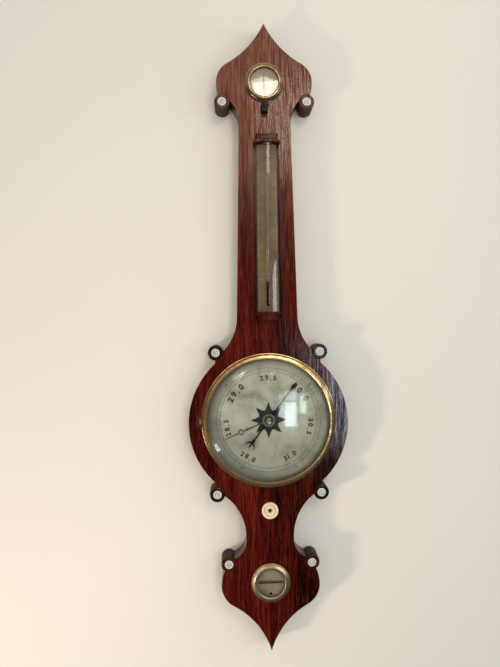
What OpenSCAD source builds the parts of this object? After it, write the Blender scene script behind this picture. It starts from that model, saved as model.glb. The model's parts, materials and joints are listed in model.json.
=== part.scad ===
// Banjo (wheel) barometer with hygrometer, thermometer, dial, set knob and spirit level.
// Each piece is drawn lying on its back: x across the case, y up the case, z out from the wall.
// upright() then stands it on the wall, with the origin at the hanging hole in the back plane.

/* [Case] */
// Height from the top point to the bottom point
total_height = 1000; // [995:1:1080]
// Distance from the top point down to the hanging hole
tip_above_hook = 50; // [46:1:54]
// Depth of the case from the wall to its front
case_depth = 33; // [31:0.5:38]
// Thickness of the veneer on the front
veneer = 1.6; // [0.8:0.1:2.2]
// Half of the head's greatest width
head_half_w = 76.3; // [72:0.1:84]
// Distance from the top point down to the head's widest place
head_drop = 93; // [88:0.5:98]
// Radius of the head's round shoulders
head_round = 34.6; // [30:0.1:38]
// Radius of the hollow sides that rise to the top point
head_hollow = 143; // [125:1:170]
// Half of the tail's greatest width
tail_half_w = 78.5; // [74:0.1:86]
// Distance from the bottom point up to the tail's widest place
tail_rise = 105.7; // [100:0.1:112]
// Radius of the tail's round shoulders
tail_round = 36.9; // [32:0.1:40]
// Radius of the hollow sides that fall to the bottom point
tail_hollow = 123; // [110:1:150]
// Radius of the flat curve from the widest place to the rolls
cheek_round = 56; // [50:1:70]
// Half width of the neck at its top
neck_half_top = 41; // [38:0.5:46]
// Half width of the neck at its foot
neck_half_foot = 48.3; // [44:0.1:54]
// Distance from the top point down to the top of the neck
neck_top_drop = 158; // [152:1:166]
// Radius of the cove under the head
head_cove = 50; // [44:1:60]
// Radius of the round drum behind the dial
drum_r = 127.3; // [122:0.1:134]
// Height of the drum's centre above the bottom point
drum_rise = 365.5; // [350:0.5:380]
// Height of the neck's foot above the drum's centre
neck_foot_rise = 168.5; // [160:0.5:176]
// Radius of the coves between neck and drum
ear_cove = 78; // [70:1:84]
// Half width of the waist under the drum
waist_half = 38; // [35:0.5:44]
// Depth of the waist below the drum's centre
waist_drop = 182.5; // [176:0.5:190]
// Radius of the coves between drum and waist
waist_cove = 84; // [76:1:92]
// Length of the straight part of the waist
waist_length = 5; // [3:0.5:12]
// Radius of the coves over the tail
tail_cove = 32; // [28:1:38]

/* [Rolls] */
// Radius of the turned rolls in the case edge
roll_r = 12.2; // [10:0.1:12.6]
// How far the rolls stand proud of the front
roll_proud = 1; // [0.4:0.1:2]
// Distance of the head rolls from the middle
head_roll_x = 67.5; // [64:0.5:70]
// Distance from the top point down to the head rolls
head_roll_drop = 123.5; // [119:0.5:127]
// Distance of the four drum rolls from the middle
drum_roll_x = 83.4; // [81:0.1:86]
// Height of the drum rolls above and below the drum's centre
drum_roll_rise = 113; // [110:0.5:116]
// Distance of the tail rolls from the middle
tail_roll_x = 66.6; // [63:0.1:70]
// Height of the tail rolls above the bottom point
tail_roll_rise = 140.5; // [136:0.5:145]
// Radius of the pearl discs in the rolls
pearl_r = 6.9; // [6:0.1:8.5]
// Thickness of the pearl discs
pearl_t = 1.5; // [1:0.1:2]

/* [Dial] */
// How far the dial's centre lies above the drum's centre
dial_up = 4.2; // [2:0.1:6]
// How far the dial's edge lies inside the bezel's outer edge
dial_edge = 5; // [4:0.1:6]
// Thickness of the dial
dial_t = 1.5; // [1:0.1:2]
// How deep the dial's face lies under the front of the case
dial_sink = 2.5; // [2:0.1:3]
// Outer radius of the brass bezel
bezel_r = 107; // [104:0.1:109]
// Width of the bezel from its outer edge to the sight opening
bezel_band = 10.5; // [9:0.1:12]
// Height of the bezel above the front of the case
bezel_h = 7.8; // [6.5:0.1:10]
// Rise of the convex glass over its edge
glass_rise = 11; // [8:0.5:16]
// Thickness of the convex glass
glass_t = 2.2; // [1.6:0.1:3]
// Outer radius of the black star on the dial
star_r = 29; // [24:0.5:34]
// Radius of the valleys between the star's points
star_valley_r = 16.5; // [13:0.5:19]
// Length of the indicating hand from the centre
hand_length = 76; // [70:0.5:84]
// Distance from the centre to the fork on the hand's tail
hand_tail = 52; // [46:0.5:58]
// Direction of the indicating hand at rest, clockwise from the top
hand_angle = 37; // [0:1:90]
// Length of the brass set hand from the centre
set_hand_length = 75; // [68:0.5:84]
// Direction of the set hand at rest, clockwise from the top
set_hand_angle = 247; // [180:1:300]

/* [Movement] */
// Radius of the hand's steel arbor
arbor_r = 1.5; // [1.2:0.05:1.8]
// Running clearance of arbors in their bearings
running_gap = 0.05; // [0.03:0.01:0.08]
// Radius at which the silk threads lie on the float pulley
float_pulley_r = 7.28; // [6.8:0.01:7.8]
// Radius of the set cord round the pulley behind the dial
set_pulley_r = 9; // [8:0.1:9.6]
// Radius of the set cord round the pulley on the set arbor
knob_pulley_r = 5.5; // [4.5:0.1:6.5]
// Diameter of the set cord
set_cord_d = 1; // [0.8:0.1:1.4]
// Distance from the dial's centre down to the set knob
knob_drop = 143.5; // [138:0.5:149]
// Radius of the bone set knob
knob_r = 13.1; // [11:0.1:16]
// Height of the set knob
knob_h = 5; // [4:0.1:8]
// Radius of the hole in the set knob
knob_hole_r = 2.65; // [2.3:0.05:3.2]

/* [Tube] */
// Outer diameter of the siphon tube
tube_d = 8; // [7:0.1:8.6]
// Bore of the siphon tube
tube_bore = 5.5; // [4.6:0.1:6]
// Space between the back door and the siphon tube
tube_clear = 3; // [2.8:0.1:3.6]
// Distance from the hanging hole down to the tube's closed end
tube_below_hook = 28; // [26:1:40]
// Distance of the long limb from the middle
long_limb_x = 22; // [20.5:0.5:23]
// Depth of the open end of the short limb below the dial's centre
open_end_drop = 56; // [50:1:66]
// Depth of the mercury under the tube's closed end
vacuum_length = 24; // [20:1:34]
// Height of the middle of the tube's bend above the bottom point
bend_rise = 104; // [100:1:120]
// Height of the lower mercury level over the bend at rest
float_room = 35; // [32:1:40]
// Length of the float
float_length = 16; // [12:1:22]
// Length of the counterweight
weight_length = 26; // [18:1:34]
// Depth of the counterweight's top below the dial's centre
weight_drop = 70; // [60:1:90]

/* [Back] */
// Thickness of the back door
door_t = 5; // [4:0.1:5.4]
// Least width of the ledge that the back door closes on
door_ledge = 4; // [3:0.1:5]
// Thickness of the cover over the neck channel
cover_t = 3; // [2.2:0.1:4]
// Thickness of the brass hanging plate
hang_t = 2; // [1.5:0.1:3]
// Radius of the hanging hole
hang_r = 4; // [3:0.1:5]
// Radius of the door hinge pins
hinge_pin_r = 0.9; // [0.7:0.05:1.1]

/* [Small instruments] */
// Distance from the top point down to the hygrometer's centre
hygro_drop = 94; // [91:0.5:97]
// Distance from the bottom point up to the level's centre
level_rise = 109.5; // [105:0.5:114]
// Outer radius of the two small bezels
small_bezel_r = 31; // [29.5:0.1:32.5]
// Width of the small bezels from the outer edge to the sight opening
small_band = 8.9; // [7.5:0.1:10]
// Height of the two small bezels
small_bezel_h = 4.6; // [3.8:0.1:6]
// Depth of the hygrometer's dial below the front
hygro_dial_depth = 8; // [6:0.1:9]
// Room behind the hygrometer's dial
cup_room = 4.5; // [4.2:0.1:5.5]
// Length of the level's slot
slot_length = 41; // [36:0.5:43]
// Width of the level's slot
slot_w = 5; // [4.6:0.1:5.4]
// Radius of the level's vial
vial_r = 3; // [2.8:0.05:3.2]
// Half width of the catch under the hygrometer
catch_half_w = 6.2; // [5.4:0.1:7]
// Length of the catch below its pivot
catch_length = 10.5; // [8:0.5:14]
// How far the catch stands out from the front
catch_h = 12; // [8:0.5:14]

/* [Thermometer] */
// Distance from the top point down to the thermometer's upper end
thermo_top_drop = 178.5; // [174:0.5:188]
// Height of the thermometer's foot above the drum's centre
thermo_foot_rise = 163.5; // [154:0.5:172]
// How far the thermometer sits to the right of the middle
thermo_x = 2; // [0:0.1:3]
// Height of each wooden cap
cap_height = 13.5; // [12.5:0.5:17]
// How far the thermometer's caps stand out past the glass at each side
cap_side = 2.3; // [1.5:0.1:4]
// How far the thermometer's caps stand out in front of the glass
cap_front = 2; // [1:0.1:4]
// Half width of the bowed glass
bow_half_w = 18.5; // [17.5:0.1:19]
// How far the bowed glass stands out from the front
bow_proud = 13; // [11:0.5:13.5]
// Thickness of the bowed glass
bow_t = 1.5; // [1.2:0.1:1.8]
// Radius of the thermometer's stem
stem_r = 2.3; // [2:0.1:2.8]
// Radius of the thermometer's bulb
bulb_r = 3.3; // [3:0.1:3.8]
// Length of the thermometer's bulb
bulb_length = 40; // [32:1:46]

/* [Hidden] */
$fn = 72;

// Clearances
cut = 1;
glue_gap = 0.05;
fit_gap = 0.3;
end_gap = 1;
cord_gap = 0.15;

// Places along the case
function below(drop) = tip_above_hook - drop;
bottom_y = below(total_height);
function above_bottom(rise) = bottom_y + rise;
drum_y = above_bottom(drum_rise);
dial_y = drum_y + dial_up;
knob_y = dial_y - knob_drop;
hygro_y = below(hygro_drop);
level_y = above_bottom(level_rise);
thermo_top_y = below(thermo_top_drop);
thermo_foot_y = drum_y + thermo_foot_rise;

// The siphon tube and its mercury
tube_top_y = -tube_below_hook;
upper_level_y = tube_top_y - vacuum_length;
bend_y = above_bottom(bend_rise);
lower_level_y = bend_y + float_room;
bend_r = (long_limb_x + float_pulley_r) / 2;
bend_x = (float_pulley_r - long_limb_x) / 2;
bend_low_y = bend_y - bend_r - tube_d / 2;
open_end_y = dial_y - open_end_drop;
tube_wall = (tube_d - tube_bore) / 2;
mercury_r = tube_bore / 2 - glue_gap;
// Lengths of the two ends of the mercury that rise and fall with the weather
upper_swing = 40;
lower_swing = 25;
float_gap = 0.6;
float_r = tube_bore / 2 - float_gap;
weight_r = 2.4;
thread_r = 0.3;
weight_lane = 2.4;

// Levels, measured out from the wall
carcass_t = case_depth - veneer;
tube_plane = door_t + tube_clear + tube_d / 2;
bridge_strap = 1.5;
bridge_z = tube_plane - tube_d / 2 - fit_gap - bridge_strap;
channel_floor = tube_plane + tube_d / 2 + fit_gap;
plate_t = 1.5;
plate_z = channel_floor + end_gap;
ledge_z = plate_z + plate_t;
set_pulley_w = 4;
set_pulley_z = ledge_z + end_gap;
set_cord_z = set_pulley_z + set_pulley_w / 2;
well_floor = set_pulley_z + set_pulley_w + end_gap;
sight_r = bezel_r - bezel_band;
dial_r = bezel_r - dial_edge;
dial_face = case_depth - dial_sink;
dial_back = dial_face - dial_t;
star_t = 0.4;
set_hand_t = 0.8;
set_hand_gap = 0.7;
set_hand_z = dial_face + star_t + set_hand_gap;
hand_t = 0.8;
hand_z = set_hand_z + set_hand_t + end_gap;

// The set train
pulley_flange = 1.6;
well_gap = 1.4;
well_r = set_pulley_r + pulley_flange + well_gap;
cannon_r = 3;
dial_bush_r = 5;
knob_arbor_r = 2;
set_bush_r = 4;
knob_gap = 0.4;
knob_z = case_depth + knob_gap;

// The movement
plate_half_w = 18;
plate_half_h = 17;
plate_screw_x = 15;
plate_screw_y = 13;
bridge_half_w = 3;
bridge_foot = 5;
lane_rim = 1.3;
flange_r = float_pulley_r + lane_rim;
bridge_gap = 1.92;
bridge_inside = flange_r + bridge_gap;
hub_r = 10.5;

// The back of the case
door_rise = 40;
door_under = 14;
door_top_y = dial_y + door_rise;
door_foot_y = bend_low_y - door_under;
channel_side = 2;
channel_left = -long_limb_x - tube_d / 2 - channel_side;
channel_right = float_pulley_r + tube_d / 2 + channel_side;
channel_inner = -long_limb_x + tube_d / 2 + channel_side;
channel_over = 4;
chamber_side = 1.24;
chamber_r = norm([plate_half_w, plate_half_h]) + chamber_side;
door_half_w = max(chamber_r + door_ledge, channel_side - channel_left);
cover_half_w = 12;
cover_over = 10;
cover_top_y = tube_top_y + cover_over;
cover_foot_y = door_top_y + 2 * fit_gap;
hinge_x = door_half_w - door_t / 2;
hinge_z = door_t / 2;
hinge_below_top = 60;
hinge_above_foot = 45;
hinge_ys = [door_top_y - hinge_below_top, door_foot_y + hinge_above_foot];
hinge_half_l = 12;
knuckle_half_l = 4;
leaf_t = 1;
leaf_w = 12;
leaf_end = door_half_w + leaf_w;
knuckle_clear = hinge_z + end_gap;
knuckle_gap = 0.2;
button_beside = 6;
button_x = -door_half_w - button_beside;
button_half_l = 9;
button_half_w = 3;
button_t = 1.5;
button_pocket = 2;
button_z = button_pocket - fit_gap - button_t;
hang_half_w = 22;
hang_half_h = 15;
hang_screw_in = 5;
hook_pocket_r = 8;
hook_pocket_depth = 10;
strap_half_w = 5;
strap_half_l = 11;
strap_t = 1.2;
strap_inset = 50;
strap_ys = [tube_top_y - strap_inset, (tube_top_y + door_top_y) / 2, door_top_y + strap_inset];

// Slotted countersunk screws
screw_head_r = 2.2;
screw_head_t = 1;
screw_r = 1.1;
screw_slot = 0.6;
screw_l = 8;
screw_edge = 3;
leaf_screw_in = 4;
leaf_screw_apart = 8;

// The bezel's hinge at its left edge
bezel_knuckle_r = 1.6;
bezel_hinge_out = 2;
bezel_hinge_x = -bezel_r - bezel_hinge_out;
bezel_hinge_z = case_depth + fit_gap + bezel_knuckle_r;
bezel_knuckle_half_l = 4;
bezel_leaf_half_l = 10;
bezel_leaf_w = 8;
bezel_leaf_x = bezel_hinge_x + bezel_knuckle_r - bezel_leaf_w;
bezel_pin_r = 0.8;

// The bezel's lip, the glass under it and the ring that holds the glass
bezel_lip = 2.8;
lip_under = bezel_h - bezel_lip;
rebate_step = 2.6;
rebate_r = sight_r + rebate_step;
ring_t = 1.3;
glass_r = rebate_r - fit_gap;

// The small instruments
small_sight_r = small_bezel_r - small_band;
small_step = 2.2;
small_seat_r = small_sight_r + small_step;
small_lip = 2;
small_glass_t = 1.2;
cup_wall = 1.2;
cup_r = small_seat_r + cup_wall;
small_dial_t = 1;
hygro_face = case_depth - hygro_dial_depth;
cup_depth = hygro_dial_depth + small_dial_t + cup_room;
hygro_hand_gap = 1;
hygro_hand_z = hygro_face + hygro_hand_gap;
hygro_arbor_r = 0.8;
level_sink = 1.2;
level_face = case_depth - level_sink;
level_back = level_face - small_dial_t;
slot_up = 0.3;
vial_z = level_back - glue_gap - vial_r;
vial_over = 3.5;
catch_gap = 2;
catch_y = hygro_y - small_bezel_r - catch_half_w - catch_gap;
catch_pin_r = 1.5;

// The thermometer
scale_sink = 2;
scale_t = 1.2;
scale_floor = case_depth - scale_sink;
under_cap = 6;
scale_top_y = thermo_top_y - cap_height + under_cap;
scale_foot_y = thermo_foot_y + cap_height - under_cap;
bow_rise = bow_proud + scale_sink;
bow_r = (bow_half_w * bow_half_w + bow_rise * bow_rise) / (2 * bow_rise);
bow_z = case_depth + bow_proud - bow_r;
cap_half_w = bow_half_w + cap_side;
cap_proud = bow_proud + cap_front;
scale_half_w = sqrt((bow_r - bow_t) ^ 2 - (scale_floor + scale_t - bow_z) ^ 2) - fit_gap;
stem_z = scale_floor + scale_t + bulb_r + fit_gap;
bulb_above_cap = 9.5;
stem_below_cap = 8;
bulb_foot_y = thermo_foot_y + cap_height + bulb_above_cap;
stem_top_y = thermo_top_y - cap_height - stem_below_cap;
stem_bore_r = 0.7;
bulb_wall = 0.5;
spirit_share = 0.55;
spirit_top_y = bulb_foot_y + bulb_length + spirit_share * (stem_top_y - bulb_foot_y - bulb_length);

module upright() {
    rotate([90, 0, 0]) children();
}
module both_sides() {
    children();
    mirror([1, 0, 0]) children();
}
module at(x, y, z = 0) {
    translate([x, y, z]) children();
}
module ring(outer, inner, height) {
    difference() {
        cylinder(r = outer, h = height);
        at(0, 0, -cut) cylinder(r = inner, h = height + 2 * cut);
    }
}
module block(x0, x1, y0, y1, z0, z1) {
    at(x0, y0, z0) cube([x1 - x0, y1 - y0, z1 - z0]);
}
// A round rod along y
module rod_y(radius, y0, y1) {
    at(0, y0) rotate([-90, 0, 0]) cylinder(r = radius, h = y1 - y0);
}
// A turned shape whose profile gives radius and height along y
module turned_y(y0) {
    at(0, y0) rotate([-90, 0, 0]) rotate_extrude() children();
}
// A flat outline in x and z, drawn out along y
module along_y(y0, length) {
    at(0, y0 + length) rotate([90, 0, 0]) linear_extrude(length) children();
}

// Outline of the case: the right side as a run of arcs from the top point to the bottom point

arc_steps = 16;
function arc(centre, radius, from, to) = [
    for (i = [0 : arc_steps])
        let (a = from + (to - from) * i / arc_steps)
        centre + radius * [cos(a), sin(a)]
];
function bearing(v) = atan2(v.y, v.x);
function crossing(centre, radius, y) = asin((y - centre.y) / radius);
function reversed(list) = [for (i = [len(list) - 1 : -1 : 0]) list[i]];
function mirrored(list) = [for (p = list) [-p.x, p.y]];

// Centre of the hollow arc that leaves the point and runs into the round shoulder
function hollow_centre(hollow, round, c) =
    let (d = norm(c), along = (hollow ^ 2 - (hollow + round) ^ 2 + d ^ 2) / (2 * d))
    let (u = c / d, aside = sqrt(hollow ^ 2 - along ^ 2))
    [along * u.x - aside * u.y, along * u.y + aside * u.x];

// Right side of an onion-shaped end hanging from its point at the origin down to the rolls
function onion(half_w, drop, round, hollow, base) =
    let (c = [half_w - round, -drop], k = hollow_centre(hollow, round, c))
    let (cheek = [half_w - cheek_round, -drop])
    concat(
        arc(k, hollow, bearing(-k) + (bearing(-k) < 0 ? 360 : 0), bearing(c - k) + 360),
        arc(c, round, bearing(k - c), 0),
        arc(cheek, cheek_round, 0, crossing(cheek, cheek_round, -base))
    );
function moved(list, by) = [for (p = list) p + by];
function flipped(list) = [for (p = reversed(list)) [p.x, -p.y]];

neck_top = [neck_half_top, below(neck_top_drop)];
neck_foot = [neck_half_foot, drum_y + neck_foot_rise];
neck_lean = atan((neck_half_foot - neck_half_top) / (neck_top.y - neck_foot.y));
neck_normal = [cos(neck_lean), sin(neck_lean)];
waist_top = [waist_half, drum_y - waist_drop];
waist_foot = waist_top - [0, waist_length];
head_roll = [head_roll_x, below(head_roll_drop)];
upper_roll = [drum_roll_x, drum_y + drum_roll_rise];
lower_roll = [drum_roll_x, drum_y - drum_roll_rise];
tail_roll = [tail_roll_x, above_bottom(tail_roll_rise)];
rolls = [head_roll, upper_roll, lower_roll, tail_roll];
head_cove_centre = neck_top + head_cove * neck_normal;
ear_cove_centre = neck_foot + ear_cove * neck_normal;
waist_cove_centre = waist_top + [waist_cove, 0];
tail_cove_centre = waist_foot + [tail_cove, 0];

// A cove leaves the straight side and ends inside the roll's seat
function cove_end(centre, radius, roll) = bearing(roll - centre) + (roll.y < centre.y ? 360 : 0);
right_side = concat(
    moved(onion(head_half_w, head_drop, head_round, head_hollow, head_roll_drop), [0, tip_above_hook]),
    [head_roll],
    arc(head_cove_centre, head_cove, cove_end(head_cove_centre, head_cove, head_roll), 180 + neck_lean),
    arc(ear_cove_centre, ear_cove, 180 + neck_lean, cove_end(ear_cove_centre, ear_cove, upper_roll)),
    [upper_roll, [0.7 * drum_r, drum_y], lower_roll],
    arc(waist_cove_centre, waist_cove, cove_end(waist_cove_centre, waist_cove, lower_roll), 180),
    arc(tail_cove_centre, tail_cove, 180, cove_end(tail_cove_centre, tail_cove, tail_roll)),
    [tail_roll],
    moved(flipped(onion(tail_half_w, tail_rise, tail_round, tail_hollow, tail_roll_rise)), [0, bottom_y])
);
module case_outline() {
    difference() {
        union() {
            polygon(concat(mirrored(right_side), reversed(right_side)));
            at(0, drum_y) circle(r = drum_r);
        }
        for (p = rolls) both_sides() at(p.x, p.y) circle(r = roll_r + glue_gap);
    }
}

// Screws

module screw_profile(grow, length) {
    rotate_extrude() polygon([
        [0, -grow], [screw_head_r + grow, -grow], [screw_head_r + grow, 0], [screw_r + grow, screw_head_t],
        [screw_r + grow, length - screw_r], [0, length + grow]
    ]);
}
module slotted_screw(length) {
    difference() {
        screw_profile(0, length);
        block(-screw_head_r - cut, screw_head_r + cut, -screw_slot / 2, screw_slot / 2, -cut, screw_slot);
    }
}
module screw_hole(length) {
    screw_profile(glue_gap, length);
}

hang_screw_x = hang_half_w - hang_screw_in;
hang_screw_y = hang_half_h - hang_screw_in;
hang_screws = [for (x = [-1, 1], y = [-1, 1]) [x * hang_screw_x, y * hang_screw_y, 0, screw_l]];
cover_screw_ys = [cover_top_y - screw_edge, cover_foot_y + screw_edge];
cover_screws = [
    for (s = [-1, 1], y = cover_screw_ys) [s * (cover_half_w - screw_edge) - long_limb_x, y, 0, screw_l]
];
leaf_screws = [
    for (y = hinge_ys, s = [-1, 1]) [leaf_end - leaf_screw_in, y + s * leaf_screw_apart, 0, screw_l]
];
door_leaf_x = hinge_x - leaf_w;
door_leaf_screws = [
    for (y = hinge_ys, s = [-1, 1])
        [door_leaf_x + leaf_screw_in, y + s * leaf_screw_apart, 0, door_t - 2 * fit_gap]
];
plate_screws = [
    for (x = [-1, 1], y = [-1, 1]) [x * plate_screw_x, dial_y + y * plate_screw_y, plate_z, screw_l]
];
foot_middle = bridge_inside + bridge_strap + bridge_foot / 2;
bridge_screws = [
    for (s = [-1, 1]) [0, dial_y + s * foot_middle, plate_z - bridge_strap, bridge_strap + plate_t]
];
strap_z = tube_plane - tube_d / 2 - fit_gap - strap_t;
strap_screws = [
    for (y = strap_ys, s = [-1, 1]) [s * (strap_half_l - screw_edge) - long_limb_x, y, strap_z, screw_l]
];
button_screw = [[button_x, dial_y, button_z, screw_l]];
wood_screws = concat(hang_screws, cover_screws, leaf_screws, plate_screws, strap_screws, button_screw);

module placed_screws(list) {
    for (p = list) at(p[0], p[1], p[2]) slotted_screw(p[3]);
}
module screw_holes(list) {
    for (p = list) at(p[0], p[1], p[2]) screw_hole(p[3]);
}
// Front screws go in the other way
dial_screw_r = dial_r - screw_head_r - fit_gap;
dial_screws = [
    for (a = [90, 210, 330]) [dial_screw_r * cos(a), dial_y + dial_screw_r * sin(a), dial_face, screw_l]
];
level_screw_drop = 18;
level_screws = [[0, level_y - level_screw_drop, level_face, screw_l]];
scale_screw_in = 3;
scale_screws = [
    for (y = [scale_top_y - scale_screw_in, scale_foot_y + scale_screw_in])
        [thermo_x, y, scale_floor + scale_t, screw_l]
];
front_screw_places = concat(dial_screws, level_screws, scale_screws);
module front_facing(p) {
    at(p[0], p[1], p[2]) mirror([0, 0, 1]) children();
}
module front_screw_holes(list) {
    for (p = list) front_facing(p) screw_hole(p[3]);
}

// The case

module thermometer_recess() {
    at(thermo_x, 0) block(-bow_half_w - fit_gap, bow_half_w + fit_gap,
        scale_foot_y - fit_gap, scale_top_y + fit_gap, scale_floor, case_depth + cut);
}
module level_recess() {
    at(0, level_y, level_back) cylinder(r = small_seat_r + glue_gap, h = case_depth);
    block(-slot_length / 2 - vial_over - fit_gap, slot_length / 2 + vial_over + fit_gap,
        level_y + slot_up - vial_r - fit_gap, level_y + slot_up + vial_r + fit_gap,
        vial_z - vial_r - fit_gap, level_back + cut);
}
// Everything let in from the front, shared by the veneer and the wood under it
module front_cuts() {
    at(0, dial_y, dial_back) cylinder(r = dial_r + fit_gap, h = case_depth);
    at(0, hygro_y, case_depth - cup_depth) cylinder(r = cup_r + glue_gap, h = case_depth);
    thermometer_recess();
    level_recess();
    at(0, knob_y, well_floor - cut) cylinder(r = set_bush_r + glue_gap, h = case_depth);
    block(bezel_leaf_x, bezel_leaf_x + bezel_leaf_w,
        dial_y - bezel_leaf_half_l - glue_gap, dial_y + bezel_leaf_half_l + glue_gap,
        case_depth - leaf_t, case_depth + cut);
    at(0, catch_y, case_depth - screw_l) cylinder(r = catch_pin_r + glue_gap, h = case_depth);
    front_screw_holes(front_screw_places);
}
module back_cuts() {
    at(0, dial_y, -cut) cylinder(r = chamber_r, h = ledge_z + cut);
    at(0, dial_y, ledge_z - cut) cylinder(r = well_r, h = well_floor - ledge_z + cut);
    block(-well_r, well_r, knob_y - well_r, dial_y, channel_floor - cut, well_floor);
    at(0, dial_y, well_floor - cut) cylinder(r = dial_bush_r + glue_gap, h = case_depth);
    block(channel_left, channel_right, bend_low_y - channel_over, dial_y, -cut, channel_floor);
    block(channel_left, channel_inner, dial_y, tube_top_y + channel_over, -cut, channel_floor);
    block(-door_half_w - fit_gap, door_half_w + fit_gap, door_foot_y - fit_gap, door_top_y + fit_gap,
        -cut, door_t);
    block(-long_limb_x - cover_half_w - fit_gap, -long_limb_x + cover_half_w + fit_gap,
        door_top_y, cover_top_y + fit_gap, -cut, cover_t);
    block(-hang_half_w - glue_gap, hang_half_w + glue_gap, -hang_half_h - glue_gap, hang_half_h + glue_gap,
        -cut, hang_t);
    cylinder(r = hook_pocket_r, h = hang_t + hook_pocket_depth);
    for (y = hinge_ys)
        block(hinge_x, leaf_end + glue_gap, y - hinge_half_l - glue_gap, y + hinge_half_l + glue_gap,
            -cut, leaf_t);
    at(button_x, dial_y, -cut) cylinder(r = button_half_l + 2 * fit_gap, h = button_pocket + cut);
    for (y = strap_ys)
        block(-long_limb_x - strap_half_l - glue_gap, -long_limb_x + strap_half_l + glue_gap,
            y - strap_half_w - glue_gap, y + strap_half_w + glue_gap, -cut, strap_z + strap_t);
    screw_holes(wood_screws);
}
module carcass() color("burlywood") upright() {
    difference() {
        linear_extrude(carcass_t) case_outline();
        back_cuts();
        front_cuts();
    }
}
module front_veneer() color("saddlebrown") upright() {
    difference() {
        at(0, 0, carcass_t) linear_extrude(veneer) case_outline();
        front_cuts();
    }
}

// Rolls and pearl discs

roll_front = case_depth + roll_proud;
roll_groove = 0.7;
roll_bead = 2;
module roll() {
    grooves = [0.35 * roll_front, 0.62 * roll_front, roll_front - 3 * roll_bead];
    rotate_extrude() polygon(concat(
        [[0, fit_gap], [roll_r - roll_bead, fit_gap]],
        [[roll_r - roll_groove, 2 * roll_groove], [roll_r, roll_bead]],
        [
            for (z = grooves, step = [[0, 0], [1, 0.5], [1, 1], [0, 2]])
                [roll_r - step.x * roll_groove, z + step.y * roll_groove]
        ],
        [[roll_r, roll_front - roll_bead], [roll_r - roll_groove, roll_front - roll_groove]],
        [[roll_r - roll_bead, roll_front], [pearl_r + glue_gap, roll_front]],
        [[pearl_r + glue_gap, roll_front - pearl_t], [0, roll_front - pearl_t]]
    ));
}
module roll_pairs(list) color("#2a1710") upright() {
    for (p = list) both_sides() at(p.x, p.y) roll();
}
module head_rolls() roll_pairs([head_roll]);
module drum_rolls() roll_pairs([upper_roll, lower_roll]);
module tail_rolls() roll_pairs([tail_roll]);
module pearl_discs() color("gainsboro") upright() {
    for (p = rolls) both_sides() at(p.x, p.y, roll_front - pearl_t) cylinder(r = pearl_r, h = pearl_t);
}

// Back door, neck cover, hinges and hanging plate

module back_door() color("sienna") upright() {
    difference() {
        union() {
            block(-door_half_w, hinge_x, door_foot_y, door_top_y, 0, door_t);
            at(hinge_x, 0, hinge_z) rod_y(door_t / 2, door_foot_y, door_top_y);
        }
        for (y = hinge_ys) {
            y0 = y - hinge_half_l;
            y1 = y + hinge_half_l;
            block(hinge_x - hinge_z - fit_gap, door_half_w + cut, y0 - fit_gap, y1 + fit_gap,
                -cut, door_t + cut);
            block(door_leaf_x - glue_gap, hinge_x, y0 - glue_gap, y1 + glue_gap, -cut, leaf_t);
        }
        at(button_x, dial_y, -cut) cylinder(r = button_half_l + 2 * fit_gap, h = button_pocket + cut);
        screw_holes(door_leaf_screws);
    }
}
module neck_cover() color("peru") upright() {
    difference() {
        block(-long_limb_x - cover_half_w, -long_limb_x + cover_half_w, cover_foot_y, cover_top_y,
            0, cover_t);
        screw_holes(cover_screws);
    }
}
module knuckle(y0, y1) {
    at(hinge_x, 0, hinge_z) difference() {
        rod_y(hinge_z, y0, y1);
        rod_y(hinge_pin_r + running_gap, y0 - cut, y1 + cut);
    }
}
module hinge_case_leaves() color("goldenrod") upright() {
    difference() {
        for (y = hinge_ys) {
            block(door_half_w + end_gap, leaf_end, y - hinge_half_l, y + hinge_half_l, 0, leaf_t);
            for (s = [-1, 1]) {
                near = y + s * (knuckle_half_l + knuckle_gap);
                far = y + s * hinge_half_l;
                knuckle(min(near, far), max(near, far));
                block(hinge_x, door_half_w + end_gap + cut, min(near, far), max(near, far), 0, leaf_t);
            }
        }
        screw_holes(leaf_screws);
    }
}
module hinge_door_leaves() color("darkgoldenrod") upright() {
    difference() {
        for (y = hinge_ys) {
            block(door_leaf_x, hinge_x - knuckle_clear, y - hinge_half_l, y + hinge_half_l, 0, leaf_t);
            knuckle(y - knuckle_half_l, y + knuckle_half_l);
            block(hinge_x - knuckle_clear - cut, hinge_x, y - knuckle_half_l, y + knuckle_half_l, 0, leaf_t);
        }
        screw_holes(door_leaf_screws);
    }
}
module hinge_pins() color("silver") upright() {
    for (y = hinge_ys) at(hinge_x, 0, hinge_z) rod_y(hinge_pin_r, y - hinge_half_l, y + hinge_half_l);
    at(bezel_hinge_x, 0, bezel_hinge_z)
        rod_y(bezel_pin_r, dial_y - bezel_leaf_half_l + cut, dial_y + bezel_leaf_half_l - cut);
}
module turn_button() color("gold") upright() {
    at(button_x, dial_y, button_z) difference() {
        linear_extrude(button_t) union() {
            square([2 * button_half_w, 2 * (button_half_l - button_half_w)], center = true);
            for (s = [-1, 1]) at(0, s * (button_half_l - button_half_w)) circle(r = button_half_w);
        }
        screw_hole(screw_l);
    }
}
module hanging_plate() color("gold") upright() {
    difference() {
        block(-hang_half_w, hang_half_w, -hang_half_h, hang_half_h, 0, hang_t);
        at(0, 0, -cut) cylinder(r = hang_r, h = hang_t + 2 * cut);
        screw_holes(hang_screws);
    }
}
module brass_screws() color("khaki") upright() {
    placed_screws(concat(wood_screws, bridge_screws));
}
module door_screws() color("khaki") upright() {
    placed_screws(door_leaf_screws);
}
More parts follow.
